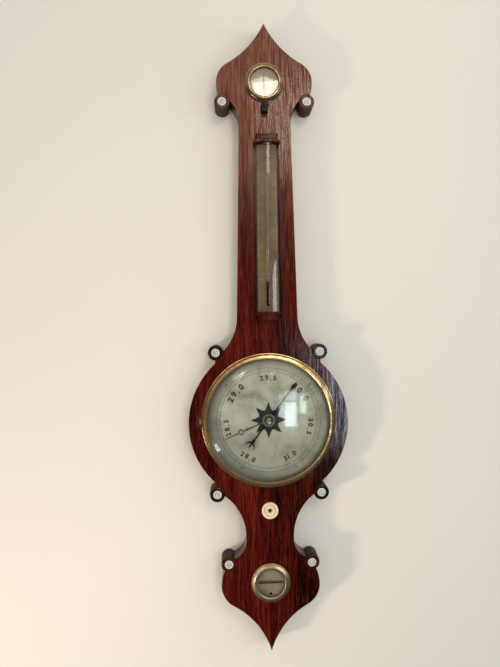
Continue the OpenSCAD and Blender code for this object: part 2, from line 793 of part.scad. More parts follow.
module front_screws() color("khaki") upright() {
    for (p = front_screw_places) front_facing(p) slotted_screw(p[3]);
    pin_l = screw_l + catch_h + fit_gap;
    at(0, catch_y, case_depth + fit_gap - screw_l) {
        cylinder(r = catch_pin_r, h = pin_l);
        at(0, 0, pin_l) cylinder(r = catch_pin_r + screw_head_t, h = screw_head_t);
    }
}

// Dial, bezel and glass

module dial_plate() color("lightgray") upright() {
    difference() {
        at(0, dial_y, dial_back) ring(dial_r, dial_bush_r + glue_gap, dial_t);
        front_screw_holes(dial_screws);
    }
}
// Eight points with hollow sides: the radius falls off steeply from each point
star_points = 8;
star_steps = 8;
function star_radius(turn) =
    let (side = abs(2 * (turn * star_points - floor(turn * star_points)) - 1))
    star_valley_r + (star_r - star_valley_r) * side ^ 2.2;
module dial_star() color("black") upright() {
    at(0, dial_y, dial_face) linear_extrude(star_t) difference() {
        polygon([
            for (i = [0 : star_points * star_steps - 1])
                let (turn = i / (star_points * star_steps))
                star_radius(turn) * [-sin(360 * turn), cos(360 * turn)]
        ]);
        circle(r = dial_bush_r + glue_gap);
    }
}
module dial_bush() color("goldenrod") upright() {
    at(0, dial_y, well_floor) ring(dial_bush_r, cannon_r + running_gap, dial_face + star_t - well_floor);
}
module bezel() color("gold") upright() {
    difference() {
        union() {
            at(0, dial_y, case_depth) rotate_extrude() polygon([
                [rebate_r, fit_gap], [bezel_r, fit_gap], [bezel_r, 1.6], [bezel_r - 1.4, 2.2],
                [bezel_r - 2.4, 0.55 * bezel_h], [bezel_r - 3.4, 0.85 * bezel_h], [sight_r + 3.8, bezel_h],
                [sight_r + 1.4, bezel_h], [sight_r, bezel_h - 1.4], [sight_r, lip_under],
                [rebate_r, lip_under]
            ]);
            at(bezel_hinge_x, 0, bezel_hinge_z)
                rod_y(bezel_knuckle_r, dial_y - bezel_knuckle_half_l, dial_y + bezel_knuckle_half_l);
            block(bezel_hinge_x, -bezel_r + 2, dial_y - bezel_knuckle_half_l, dial_y + bezel_knuckle_half_l,
                case_depth + fit_gap + 0.4, case_depth + fit_gap + 1.6);
        }
        at(bezel_hinge_x, 0, bezel_hinge_z)
            rod_y(bezel_pin_r + running_gap, dial_y - bezel_leaf_half_l, dial_y + bezel_leaf_half_l);
    }
}
// A dished glass whose upper face meets height edge_z at radius edge_r
module dished_glass(radius, rise, thickness, edge_r, edge_z) {
    curve = (radius ^ 2 + rise ^ 2) / (2 * rise);
    centre_z = edge_z - sqrt(curve ^ 2 - edge_r ^ 2);
    intersection() {
        at(0, 0, centre_z) difference() {
            sphere(r = curve);
            sphere(r = curve - thickness);
        }
        at(0, 0, edge_z - rise) cylinder(r = radius, h = 3 * rise);
    }
}
module bezel_glass() color("lightcyan", 0.4) upright() {
    at(0, dial_y, case_depth) dished_glass(glass_r, glass_rise, glass_t, sight_r, lip_under - 0.1);
}
glass_sag = 0.9;
ring_z = case_depth + lip_under - glass_t - ring_t - glass_sag;
module glass_ring() color("darkgoldenrod") upright() {
    at(0, dial_y, ring_z) ring(rebate_r - glue_gap, sight_r - fit_gap, ring_t);
}
module bezel_hinge_leaf() color("goldenrod") upright() {
    difference() {
        union() {
            block(bezel_leaf_x + glue_gap, bezel_leaf_x + bezel_leaf_w - glue_gap,
                dial_y - bezel_leaf_half_l, dial_y + bezel_leaf_half_l, case_depth - leaf_t, case_depth);
            for (s = [-1, 1]) {
                near = dial_y + s * (bezel_knuckle_half_l + knuckle_gap);
                far = dial_y + s * bezel_leaf_half_l;
                at(bezel_hinge_x, 0, bezel_hinge_z) rod_y(bezel_knuckle_r, min(near, far), max(near, far));
                block(bezel_hinge_x - bezel_knuckle_r, bezel_hinge_x, min(near, far), max(near, far),
                    case_depth - leaf_t / 2, bezel_hinge_z);
            }
        }
        at(bezel_hinge_x, dial_y, bezel_hinge_z)
            rod_y(bezel_pin_r + running_gap, -bezel_leaf_half_l - cut, bezel_leaf_half_l + cut);
    }
}

// Hands, drawn pointing up and then turned clockwise

module turned_hand(angle) {
    at(0, dial_y) rotate([0, 0, -angle]) children();
}
module indicating_hand() color("#1c2230") upright() turned_hand(hand_angle) {
    leaf = 16;
    knuckle_at = hand_tail - 11;
    at(0, 0, hand_z) difference() {
        union() {
            linear_extrude(hand_t) union() {
                circle(r = hub_r);
                polygon([[-1.7, -4], [1.7, -4], [0.7, hand_length - leaf], [-0.7, hand_length - leaf]]);
                polygon([
                    [0, hand_length - leaf - 2], [3.1, hand_length - 0.6 * leaf], [0, hand_length],
                    [-3.1, hand_length - 0.6 * leaf]
                ]);
                polygon([[-0.9, -hand_tail], [0.9, -hand_tail], [1.5, 5], [-1.5, 5]]);
                at(0, -knuckle_at) circle(r = 2.5);
                difference() {
                    at(0, -hand_tail) circle(r = 8.4);
                    at(0, -hand_tail - 2.2) circle(r = 8);
                }
                polygon([[0, -hand_tail - 5], [1.1, 4 - hand_tail], [-1.1, 4 - hand_tail]]);
            }
            ring(hub_r, hub_r - 2, hand_t + 0.7);
        }
        at(0, 0, -cut) cylinder(r = arbor_r + glue_gap, h = hand_t + 3 * cut);
    }
}
module hand_cap() color("gold") upright() at(0, dial_y, hand_z + hand_t) {
    rotate_extrude() polygon([
        [0, 1.2], [arbor_r + glue_gap, 1.2], [arbor_r + glue_gap, 0], [4, 0], [4, 1.2], [3.2, 2], [1.6, 2.6],
        [0, 2.8]
    ]);
}
arbor_back = bridge_z - fit_gap;
module hand_arbor() color("silver") upright() {
    at(0, dial_y, arbor_back) cylinder(r = arbor_r, h = hand_z + hand_t + 1 - arbor_back);
}
module set_hand() color("gold") upright() turned_hand(set_hand_angle) {
    diamond_at = 48;
    diamond_half_l = 6;
    diamond_half_w = 5.8;
    diamond_wall = 1.6;
    knuckle_at = 37;
    at(0, 0, set_hand_z) linear_extrude(set_hand_t) difference() {
        union() {
            circle(r = 6);
            polygon([
                [-1.1, -2], [1.1, -2], [0.7, diamond_at - diamond_half_l + 1],
                [-0.7, diamond_at - diamond_half_l + 1]
            ]);
            at(0, knuckle_at) square([5, 1.4], center = true);
            difference() {
                at(0, diamond_at) rhombus(diamond_half_w, diamond_half_l);
                at(0, diamond_at) rhombus(diamond_half_w - diamond_wall, diamond_half_l - diamond_wall);
            }
            polygon([
                [-0.8, diamond_at + diamond_half_l - 1], [0.8, diamond_at + diamond_half_l - 1],
                [0.25, set_hand_length], [-0.25, set_hand_length]
            ]);
            polygon([[-0.6, -14], [0.6, -14], [1, 4], [-1, 4]]);
        }
        circle(r = cannon_r + glue_gap);
    }
}
module rhombus(half_w, half_l) {
    polygon([[0, -half_l], [half_w, 0], [0, half_l], [-half_w, 0]]);
}

// The set train: cannon with its pulley, cord, knob, arbor and bush

module grooved_pulley(cord_radius, bore) {
    flange = (set_pulley_w - 2 * set_cord_d) / 2;
    difference() {
        union() {
            cylinder(r = cord_radius - set_cord_d / 2 - cord_gap, h = set_pulley_w);
            cylinder(r = cord_radius + pulley_flange, h = flange);
            at(0, 0, set_pulley_w - flange) cylinder(r = cord_radius + pulley_flange, h = flange);
        }
        at(0, 0, -cut) cylinder(r = bore, h = set_pulley_w + 2 * cut);
    }
}
module set_cannon() color("goldenrod") upright() at(0, dial_y) {
    cannon_z = ledge_z + end_gap / 2;
    at(0, 0, set_pulley_z) grooved_pulley(set_pulley_r, cannon_r);
    at(0, 0, cannon_z) ring(cannon_r, arbor_r + running_gap, set_hand_z + set_hand_t - cannon_z);
}
// An endless cord round both pulleys
cord_lean = asin((set_pulley_r - knob_pulley_r) / knob_drop);
module cord_loop(grow) {
    polygon(concat(
        arc([0, dial_y], set_pulley_r + grow, -cord_lean, 180 + cord_lean),
        arc([0, knob_y], knob_pulley_r + grow, 180 + cord_lean, 360 - cord_lean)
    ));
}
module set_cord() color("olive") upright() {
    at(0, 0, set_cord_z - set_cord_d / 2) linear_extrude(set_cord_d) difference() {
        cord_loop(set_cord_d / 2);
        cord_loop(-set_cord_d / 2);
    }
}
module set_knob() color("ivory") upright() at(0, knob_y, knob_z) {
    rim = 2.7;
    boss_r = 6.4;
    rotate_extrude() polygon([
        [knob_hole_r, 0], [knob_r - 1, 0], [knob_r, 1], [knob_r, knob_h - 1], [knob_r - 0.9, knob_h],
        [knob_r - rim + 0.6, knob_h], [knob_r - rim, knob_h - 0.7], [knob_r - rim - 0.6, knob_h - 1.6],
        [boss_r + 0.5, knob_h - 1.8], [boss_r, knob_h - 1], [boss_r - 0.9, knob_h - 0.7],
        [knob_hole_r + 0.8, knob_h - 1.5], [knob_hole_r, knob_h - 1.9]
    ]);
}
module set_arbor() color("dimgray") upright() at(0, knob_y) {
    arbor_z = ledge_z + end_gap / 2;
    at(0, 0, set_pulley_z) grooved_pulley(knob_pulley_r, knob_arbor_r);
    at(0, 0, arbor_z) cylinder(r = knob_arbor_r, h = knob_z - arbor_z);
    at(0, 0, knob_z) cylinder(r = knob_hole_r - glue_gap, h = knob_h - 3.2);
}
module set_bush() color("goldenrod") upright() {
    at(0, knob_y, well_floor) ring(set_bush_r, knob_arbor_r + running_gap, case_depth - well_floor);
}

// The movement behind the dial

module movement_plate() color("darkkhaki") upright() {
    difference() {
        block(-plate_half_w, plate_half_w, dial_y - plate_half_h, dial_y + plate_half_h, plate_z, ledge_z);
        at(0, dial_y, plate_z - cut) cylinder(r = arbor_r + running_gap, h = plate_t + 2 * cut);
        screw_holes(plate_screws);
        screw_holes(bridge_screws);
    }
}
module movement_bridge() color("khaki") upright() {
    outside = bridge_inside + bridge_strap;
    difference() {
        union() {
            block(-bridge_half_w, bridge_half_w, dial_y - outside, dial_y + outside,
                bridge_z, bridge_z + bridge_strap);
            for (s = [-1, 1]) {
                leg = [dial_y + s * bridge_inside, dial_y + s * outside];
                foot = [dial_y + s * bridge_inside, dial_y + s * (outside + bridge_foot)];
                block(-bridge_half_w, bridge_half_w, min(leg), max(leg), bridge_z, plate_z);
                block(-bridge_half_w, bridge_half_w, min(foot), max(foot), plate_z - bridge_strap, plate_z);
            }
        }
        at(0, dial_y, bridge_z - cut) cylinder(r = arbor_r + running_gap, h = bridge_strap + 2 * cut);
        screw_holes(bridge_screws);
    }
}
module float_pulley() color("burlywood") upright() {
    groove_r = float_pulley_r - thread_r - cord_gap;
    flange = 0.8;
    groove = weight_lane - flange;
    start = tube_plane - groove / 2 - flange;
    at(0, dial_y, start) difference() {
        union() {
            cylinder(r = groove_r, h = 2 * groove + 3 * flange);
            for (i = [0 : 2]) at(0, 0, i * weight_lane) cylinder(r = flange_r, h = flange);
        }
        at(0, 0, -cut) cylinder(r = arbor_r + glue_gap, h = 3 * weight_lane + 2 * cut);
    }
}

// The siphon tube, mercury, float and counterweight

module limb_tube(outer, inner, y0, y1) {
    difference() {
        rod_y(outer, y0, y1);
        rod_y(inner, y0 - cut, y1 + cut);
    }
}
module bend(outer, inner) {
    at(bend_x, bend_y, tube_plane) rotate([0, 0, 180]) rotate_extrude(angle = 180) at(bend_r, 0)
        difference() {
            circle(r = outer);
            if (inner > 0) circle(r = inner);
        }
}
module siphon_tube() color("lightcyan", 0.5) upright() {
    r = tube_d / 2;
    shoulder_y = tube_top_y - r;
    at(-long_limb_x, 0, tube_plane) limb_tube(r, tube_bore / 2, bend_y, shoulder_y);
    at(-long_limb_x, 0, tube_plane) turned_y(shoulder_y) polygon([
        [0, r - tube_wall], [r - 2 * tube_wall, r - tube_wall], [tube_bore / 2, 0], [r, 0],
        [0.8 * r, 0.6 * r], [0.4 * r, r], [0, r]
    ]);
    at(float_pulley_r, 0, tube_plane) limb_tube(r, tube_bore / 2, bend_y, open_end_y);
    bend(r, tube_bore / 2);
}
module mercury() color("silver") upright() {
    at(-long_limb_x, 0, tube_plane) rod_y(mercury_r, bend_y, upper_level_y - upper_swing);
    at(float_pulley_r, 0, tube_plane) rod_y(mercury_r, bend_y, lower_level_y - lower_swing);
    bend(mercury_r, 0);
}
module upper_mercury() color("lightgray") upright() {
    at(-long_limb_x, 0, tube_plane) rod_y(mercury_r, upper_level_y - upper_swing, upper_level_y);
}
module lower_mercury() color("lightgray") upright() {
    at(float_pulley_r, 0, tube_plane) rod_y(mercury_r, lower_level_y - lower_swing, lower_level_y);
}
module tube_straps() color("gold") upright() {
    difference() {
        for (y = strap_ys)
            block(-long_limb_x - strap_half_l, -long_limb_x + strap_half_l,
                y - strap_half_w, y + strap_half_w, strap_z, strap_z + strap_t);
        screw_holes(strap_screws);
    }
}
float_foot_y = lower_level_y + 0.1;
module float() color("slategray") upright() {
    at(float_pulley_r, 0, tube_plane) turned_y(float_foot_y) polygon([
        [0, 0], [float_r - 0.8, 0], [float_r, 1], [float_r, float_length - 3], [0.8, float_length - 0.8],
        [0.8, float_length], [0, float_length]
    ]);
}
weight_top_y = dial_y - weight_drop;
module counterweight() color("gray") upright() {
    at(-float_pulley_r, 0, tube_plane + weight_lane) turned_y(weight_top_y - weight_length) polygon([
        [0, 0], [weight_r - 0.6, 0], [weight_r, 0.8], [weight_r, weight_length - 3],
        [0.8, weight_length - 0.8], [0.8, weight_length], [0, weight_length]
    ]);
}
module float_thread() color("darkseagreen") upright() {
    at(float_pulley_r, 0, tube_plane) rod_y(thread_r, float_foot_y + float_length + 0.1, dial_y);
}
module weight_thread() color("darkseagreen") upright() {
    at(-float_pulley_r, 0, tube_plane + weight_lane) rod_y(thread_r, weight_top_y + 0.1, dial_y);
}

// Hygrometer

module hygrometer_cup() color("goldenrod") upright() at(0, hygro_y) {
    ledge = 3;
    floor_z = case_depth - cup_depth;
    dial_seat = hygro_face - small_dial_t;
    difference() {
        at(0, 0, floor_z) cylinder(r = cup_r, h = cup_depth);
        at(0, 0, floor_z + cup_wall) cylinder(r = cup_r - cup_wall - ledge, h = cup_depth);
        at(0, 0, dial_seat) cylinder(r = cup_r - cup_wall, h = cup_depth);
    }
}
module hygrometer_dial() color("whitesmoke") upright() {
    at(0, hygro_y, hygro_face - small_dial_t)
        ring(cup_r - cup_wall - glue_gap, hygro_arbor_r + running_gap, small_dial_t);
}
module hygrometer_hand() color("#1c2230") upright() at(0, hygro_y, hygro_hand_z) {
    hand_t = 0.5;
    reach = small_sight_r - 3;
    fork_end = 4 - reach;
    difference() {
        linear_extrude(hand_t) union() {
            circle(r = 3);
            polygon([[-0.6, -1.5], [0.6, -1.5], [0.2, reach], [-0.2, reach]]);
            polygon([
                [-2, fork_end], [-1.3, fork_end], [0, -3.5], [1.3, fork_end],
                [2, fork_end], [1.4, 0.5], [-1.4, 0.5]
            ]);
        }
        at(0, 0, -cut) cylinder(r = hygro_arbor_r + glue_gap, h = hand_t + 2 * cut);
    }
}
module hygrometer_arbor() color("gold") upright() at(0, hygro_y) {
    foot_z = case_depth - cup_depth + cup_wall + fit_gap;
    at(0, 0, foot_z) cylinder(r = hygro_arbor_r, h = hygro_hand_z + 1 - foot_z);
    at(0, 0, foot_z + 1) cylinder(r = 2, h = 1.5);
}
module small_glass() {
    under_lip = small_bezel_h - small_lip - glue_gap;
    at(0, 0, under_lip - small_glass_t) cylinder(r = small_seat_r - glue_gap, h = small_glass_t);
}
module small_bezel() {
    rotate_extrude() polygon([
        [small_seat_r, 0], [small_bezel_r, 0], [small_bezel_r, 1.2], [small_bezel_r - 1.6, 1.9],
        [small_bezel_r - 3.2, 0.75 * small_bezel_h], [small_bezel_r - 5.2, small_bezel_h],
        [small_sight_r + 1.6, small_bezel_h], [small_sight_r, small_bezel_h - 1.1],
        [small_sight_r, small_bezel_h - small_lip], [small_seat_r, small_bezel_h - small_lip]
    ]);
}
module hygrometer_glass() color("lightcyan", 0.4) upright() at(0, hygro_y, case_depth) small_glass();
module hygrometer_bezel() color("gold") upright() at(0, hygro_y, case_depth) small_bezel();
module hygrometer_catch() color("#1b1714") upright() {
    neck_half_w = 0.96 * catch_half_w;
    foot_half_w = 0.76 * catch_half_w;
    at(0, catch_y, case_depth + fit_gap) difference() {
        linear_extrude(catch_h) union() {
            circle(r = catch_half_w);
            polygon([
                [-foot_half_w, -catch_length], [foot_half_w, -catch_length],
                [neck_half_w, 1], [-neck_half_w, 1]
            ]);
        }
        at(0, 0, -cut) cylinder(r = catch_pin_r + running_gap, h = catch_h + 2 * cut);
    }
}

// Thermometer

module thermometer_scale() color("darkgray") upright() {
    difference() {
        at(thermo_x, 0)
            block(-scale_half_w, scale_half_w, scale_foot_y, scale_top_y, scale_floor, scale_floor + scale_t);
        front_screw_holes(scale_screws);
    }
}
module bulb_space(grow, stem, top_y) {
    b = bulb_r - bulb_wall - grow;
    turned_y(bulb_foot_y) polygon([
        [0, bulb_wall + grow], [b - 1, bulb_wall + grow], [b, 1.8 + grow], [b, bulb_length - 3 - grow],
        [stem - grow, bulb_length - 0.5 - grow], [stem - grow, top_y - bulb_foot_y - grow],
        [0, top_y - bulb_foot_y - grow]
    ]);
}
module thermometer_tube() color("lightcyan", 0.5) upright() at(thermo_x, 0, stem_z) {
    difference() {
        turned_y(bulb_foot_y) polygon([
            [0, 0], [bulb_r - 1, 0], [bulb_r, 1.5], [bulb_r, bulb_length - 3], [stem_r, bulb_length],
            [stem_r, stem_top_y - bulb_foot_y - 1], [stem_r - 0.8, stem_top_y - bulb_foot_y],
            [0, stem_top_y - bulb_foot_y]
        ]);
        bulb_space(0, stem_bore_r, stem_top_y - 4);
    }
}
module thermometer_spirit() color("#4a1525") upright() at(thermo_x, 0, stem_z) {
    bulb_space(glue_gap, stem_bore_r, spirit_top_y);
}
module thermometer_glass() color("lightcyan", 0.35) upright() {
    y0 = thermo_foot_y + cap_height + glue_gap;
    y1 = thermo_top_y - cap_height - glue_gap;
    at(thermo_x, 0) difference() {
        at(0, 0, bow_z) limb_tube(bow_r, bow_r - bow_t, y0, y1);
        block(-bow_r - cut, bow_r + cut, y0 - cut, y1 + cut, bow_z - bow_r - cut, scale_floor + glue_gap);
    }
}
// Plan of a cap: a flat front with canted sides
module cap_plan(half_w, proud) {
    at(0, case_depth) polygon([
        [-half_w, 0], [half_w, 0], [half_w, 0.75 * proud], [0.9 * half_w, proud], [-0.9 * half_w, proud],
        [-half_w, 0.75 * proud]
    ]);
}
module cap() {
    foot = 3.2;
    flare = 3.8;
    bead = 2.2;
    small = 0.79;
    along_y(0, foot) cap_plan(cap_half_w, cap_proud);
    hull() {
        along_y(foot, glue_gap) cap_plan(0.95 * cap_half_w, 0.95 * cap_proud);
        along_y(foot + flare, glue_gap) cap_plan(small * cap_half_w, small * cap_proud);
    }
    along_y(foot + flare, cap_height - foot - flare) cap_plan(small * cap_half_w, small * cap_proud);
    along_y(cap_height - bead, bead) cap_plan(0.84 * cap_half_w, 0.84 * cap_proud);
}
module thermometer_caps() color("#3a160c") upright() {
    at(thermo_x, thermo_top_y - cap_height) cap();
    at(thermo_x, thermo_foot_y + cap_height) mirror([0, 1, 0]) cap();
}

// Spirit level

module level_plate() color("darkgray") upright() {
    straight = slot_length - slot_w;
    difference() {
        at(0, level_y, level_back) cylinder(r = small_seat_r, h = small_dial_t);
        at(0, level_y + slot_up, level_back - cut) linear_extrude(small_dial_t + 2 * cut) {
            square([straight, slot_w], center = true);
            both_sides() at(straight / 2, 0) circle(r = slot_w / 2);
        }
        front_screw_holes(level_screws);
    }
}
module level_vial() color("palegreen", 0.6) upright() {
    half = slot_length / 2 + vial_over;
    at(0, level_y + slot_up, vial_z) rotate([0, 0, -90]) turned_y(-half) polygon([
        [0, 0], [vial_r - 1.2, 0], [vial_r, 1.6], [vial_r, 2 * half - 1.6], [vial_r - 1.2, 2 * half],
        [0, 2 * half]
    ]);
}
module level_glass() color("lightcyan", 0.4) upright() at(0, level_y, case_depth) small_glass();
module level_bezel() color("gold") upright() at(0, level_y, case_depth) small_bezel();

carcass();
front_veneer();
head_rolls();
drum_rolls();
tail_rolls();
pearl_discs();
back_door();
neck_cover();
hinge_case_leaves();
hinge_door_leaves();
hinge_pins();
turn_button();
hanging_plate();
brass_screws();
door_screws();
front_screws();
dial_plate();
dial_star();
dial_bush();
bezel();
bezel_glass();
glass_ring();
bezel_hinge_leaf();
indicating_hand();
hand_cap();
hand_arbor();
float_pulley();
set_hand();
set_cannon();
set_cord();
set_knob();
set_arbor();
set_bush();
movement_plate();
movement_bridge();
siphon_tube();
mercury();
upper_mercury();
lower_mercury();
tube_straps();
float();
counterweight();
float_thread();
weight_thread();
hygrometer_cup();
hygrometer_dial();
hygrometer_hand();
hygrometer_arbor();
hygrometer_glass();
hygrometer_bezel();
hygrometer_catch();
thermometer_scale();
thermometer_tube();
thermometer_spirit();
thermometer_glass();
thermometer_caps();
level_plate();
level_vial();
level_glass();
level_bezel();
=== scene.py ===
import json
import math

import bmesh
import bpy
from mathutils import Matrix, Vector


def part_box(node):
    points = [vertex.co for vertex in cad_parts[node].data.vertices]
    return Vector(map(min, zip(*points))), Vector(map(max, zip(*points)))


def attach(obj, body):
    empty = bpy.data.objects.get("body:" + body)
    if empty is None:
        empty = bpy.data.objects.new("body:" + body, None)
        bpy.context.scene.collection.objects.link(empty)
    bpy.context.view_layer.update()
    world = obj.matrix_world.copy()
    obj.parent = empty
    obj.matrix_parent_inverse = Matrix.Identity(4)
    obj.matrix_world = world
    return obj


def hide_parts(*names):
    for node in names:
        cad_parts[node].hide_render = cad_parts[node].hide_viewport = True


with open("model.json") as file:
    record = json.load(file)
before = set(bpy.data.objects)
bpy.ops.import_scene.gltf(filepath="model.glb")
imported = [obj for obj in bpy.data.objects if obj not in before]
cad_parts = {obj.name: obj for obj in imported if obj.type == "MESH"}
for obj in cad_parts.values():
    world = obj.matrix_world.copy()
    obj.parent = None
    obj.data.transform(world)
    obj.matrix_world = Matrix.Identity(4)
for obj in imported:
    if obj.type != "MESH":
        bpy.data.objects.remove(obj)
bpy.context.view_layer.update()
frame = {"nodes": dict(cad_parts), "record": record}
cadNodes = frame["nodes"]
slotOf = {part["node"]: part["material_slot"] for part in frame["record"]["subparts"]}
scene = bpy.context.scene
scene.view_settings.view_transform = "Standard"
print("frame loaded,", len(cadNodes), "CAD nodes")


def tone(r, g, b):
    # a colour as the eye reads it, 0 to 255, turned into the linear values that sockets take
    return tuple(v / 3294.6 if v <= 10 else ((v / 255 + 0.055) / 1.055) ** 2.4 for v in (r, g, b)) + (1.0,)


def middleOf(name):
    # the middle of a CAD piece in millimetres
    return tuple(500 * (a + b) for a, b in zip(*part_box(name)))


class Wire:
    # a socket in a node tree; sums on it add Math nodes

    def __init__(self, tree, socket=None):
        self.tree = tree
        self.socket = socket

    def node(self, kind, settings=None, inputs=None, out=0):
        made = self.tree.nodes.new(kind)
        for key, value in (settings or {}).items():
            if key == "stops":
                stops = made.color_ramp.elements
                while len(stops) < len(value):
                    stops.new(0.5)
                for stop, (place, colour) in zip(stops, value):
                    stop.position = place
                    stop.color = colour
            else:
                setattr(made, key, value)
        for key, value in (inputs or {}).items():
            if isinstance(value, Wire):
                self.tree.links.new(value.socket, made.inputs[key])
            else:
                made.inputs[key].default_value = value
        return Wire(self.tree, made.outputs[out] if len(made.outputs) else None)

    def math(self, operation, first, second=0.0):
        return self.node("ShaderNodeMath", {"operation": operation}, {0: first, 1: second})

    def __add__(self, other):
        return self.math("ADD", self, other)

    def __sub__(self, other):
        return self.math("SUBTRACT", self, other)

    def __rsub__(self, other):
        return self.math("SUBTRACT", other, self)

    def __mul__(self, other):
        return self.math("MULTIPLY", self, other)

    def stretch(self, x, y, z):
        return self.node("ShaderNodeVectorMath", {"operation": "MULTIPLY"}, {0: self, 1: (x, y, z)})

    def shift(self, other):
        return self.node("ShaderNodeVectorMath", {"operation": "ADD"}, {0: self, 1: other})

    def length(self):
        return self.node("ShaderNodeVectorMath", {"operation": "LENGTH"}, {0: self}, out="Value")

    def noise(self, scale=1.0, detail=2.0, roughness=0.5, distortion=0.0):
        inputs = {"Vector": self, "Scale": scale, "Detail": detail, "Roughness": roughness, "Distortion": distortion}
        return self.node("ShaderNodeTexNoise", None, inputs)

    def ramp(self, *stops):
        return self.node("ShaderNodeValToRGB", {"stops": stops}, {0: self})

    def rise(self, low, high, bottom=0.0, top=1.0):
        # a smooth step from bottom to top between low and high
        inputs = {"Value": self, "From Min": low, "From Max": high, "To Min": bottom, "To Max": top}
        return self.node("ShaderNodeMapRange", {"interpolation_type": "SMOOTHSTEP"}, inputs)

    def towards(self, other, share):
        # this colour mixed with another
        return self.node("ShaderNodeMix", {"data_type": "RGBA"}, {0: share, 6: self, 7: other}, out=2)

    def bump(self, strength, depth):
        return self.node("ShaderNodeBump", None, {"Strength": strength, "Distance": depth, "Height": self})

    def xyz(self, x=0.0, y=0.0, z=0.0):
        return self.node("ShaderNodeCombineXYZ", None, {0: x, 1: y, 2: z})

    def split(self):
        outputs = self.node("ShaderNodeSeparateXYZ", None, {0: self}).socket.node.outputs
        return [Wire(self.tree, socket) for socket in outputs]


def emptyTree(owner):
    # the node tree of a material or a world, with nothing in it yet
    owner.use_nodes = True
    owner.node_tree.nodes.clear()
    return Wire(owner.node_tree)


def plainMesh(holder):
    # what an object with a modifier, or a curve, comes to
    depsgraph = bpy.context.evaluated_depsgraph_get()
    return bpy.data.meshes.new_from_object(holder.evaluated_get(depsgraph), depsgraph=depsgraph)


def newLook(name, recipe, **look):
    # a material whose recipe gives the sockets of its Principled shader
    made = bpy.data.materials.new(name)
    start = emptyTree(made)
    place = start.node("ShaderNodeTexCoord", out="Object").stretch(1000, 1000, 1000)  # millimetres
    shader = start.node("ShaderNodeBsdfPrincipled", None, recipe(start, place, look))
    start.node("ShaderNodeOutputMaterial", None, {"Surface": shader})
    return made


# wood: the grain runs up the case, along z

def woodGrain(start, place, look):
    waver = place.stretch(0.012, 0.012, 0.005).noise(1, 2) - 0.5
    grain = place.shift(start.xyz(waver * look["waver"]))
    figure = grain.stretch(0.05, 0.05, 0.0035).noise(1, 3, 0.55)
    streak = grain.stretch(0.40, 0.40, 0.014).noise(1, 6, 0.7)
    line = grain.stretch(0.95, 0.95, 0.022).noise(1, 3, 0.6)
    pore = grain.stretch(1.5, 1.5, 0.075).noise(1, 3, 0.6).rise(0.55, 0.64)
    x, y, z = place.split()
    shade = x.rise(-30, 70) * look.get("shade", 0.0)  # darker towards the right
    colour = (figure * look["figure"] + streak * (1 - look["figure"]) - shade).ramp(
        (0.37, look["dark"]), (0.45, look["main"]), (0.52, look["red"]), (0.61, look["light"]))
    deep = 1.0
    if "faded" in look:  # painted sheen: lighter, with fainter lines and pores, towards the upper end
        deep = z.rise(-330, -90, 1.0, 0.42)
        colour = colour.towards(look["faded"], z.rise(-400, -60) * 0.66)
    colour = colour.towards(look["dark"], line.rise(0.5, 0.62) * look["lines"] * deep)
    fleck = grain.shift((17, 0, 40)).stretch(1.6, 1.6, 0.05).noise(1, 3, 0.6)
    colour = colour.towards(look["fleck"], fleck.rise(0.57, 0.68) * 0.55)
    colour = colour.towards(look["pore"], pore * 0.65 * deep)
    if "grime" in look:  # painted shade along both edges of the thermometer
        middle, half, low, high = look["grime"]
        side = x.math("ABSOLUTE", x - middle).rise(half + 0.8, half + 3.2, 0.85, 0.0)
        colour = colour.towards(look["pore"], side * z.rise(low, low + 3) * z.rise(high - 3, high, 1.0, 0.0))
    return colour, pore, streak, line


def polishedWood(start, place, look):
    colour, pore, streak, line = woodGrain(start, place, look)
    relief = line * 0.4 - pore
    if "sides" in look:  # painted shade: darker on faces turned away from the front
        facing = start.node("ShaderNodeTexCoord", out="Normal").split()[1]
        colour = colour.towards(look["sides"], facing.rise(-0.8, -0.3) * 0.8)
    if "dent" in look:  # a shallow knock, with a painted highlight in its pale colour
        x, z, wide, pale = look["dent"]
        knock = place.shift((-x, 0, -z)).stretch(1, 0, 0.8).length()
        colour = colour.towards(pale, knock.rise(wide * 0.2, wide, 0.32, 0.0))
        relief = relief - knock.rise(wide * 0.4, wide, 22.0, 0.0)
    handled = place.noise(0.035, 3, 0.6)
    scuff = place.stretch(0.35, 0.35, 0.9).noise(1, 5, 0.7)
    polish = line.rise(0.4, 0.57, 1.0, 0.12) * scuff.rise(0.36, 0.6, 1.0, 0.4) * (1 - pore * 0.75)
    return {
        "Base Color": colour,
        "Roughness": streak * 0.2 + handled * 0.14 + look["rough"],
        "Normal": relief.bump(0.2, 0.00015),
        "Coat Weight": polish * look["polish"],
        "Coat Roughness": look["gloss"],
        "Coat IOR": 1.62,
        "Specular IOR Level": 0.02,
    }


def pineGrain(start, place, look):
    bend = place.stretch(0.01, 0.02, 0.003).noise(1, 2) - 0.5
    ring = place.shift(start.xyz(bend * 60)).stretch(0.16, 0.16, 0.0025).noise(1, 4, 0.55)
    colour = ring.ramp((0.32, look["pineDark"]), (0.5, look["pine"]), (0.66, look["pinePale"]))
    dirt = place.noise(0.02, 5, 0.6)
    return colour.towards(look["pineDark"], dirt.rise(0.5, 0.75) * 0.6), ring


def caseWood(start, place, look):
    # dark veneered edges in front, bare softwood on the back
    edge = woodGrain(start, place, look)[0]
    pine, ring = pineGrain(start, place, look)
    back = start.node("ShaderNodeTexCoord", out="Normal").split()[1].rise(0.5, 0.7)
    return {
        "Base Color": edge.towards(pine, back),
        "Roughness": back * 0.3 + 0.38,
        "Normal": ring.bump(0.08, 0.0002),
        "Coat Weight": (1 - back) * 0.4,
        "Coat Roughness": 0.22,
    }


def barePine(start, place, look):
    colour, ring = pineGrain(start, place, look)
    return {"Base Color": colour, "Roughness": ring * 0.2 + 0.55, "Normal": ring.bump(0.15, 0.0002)}


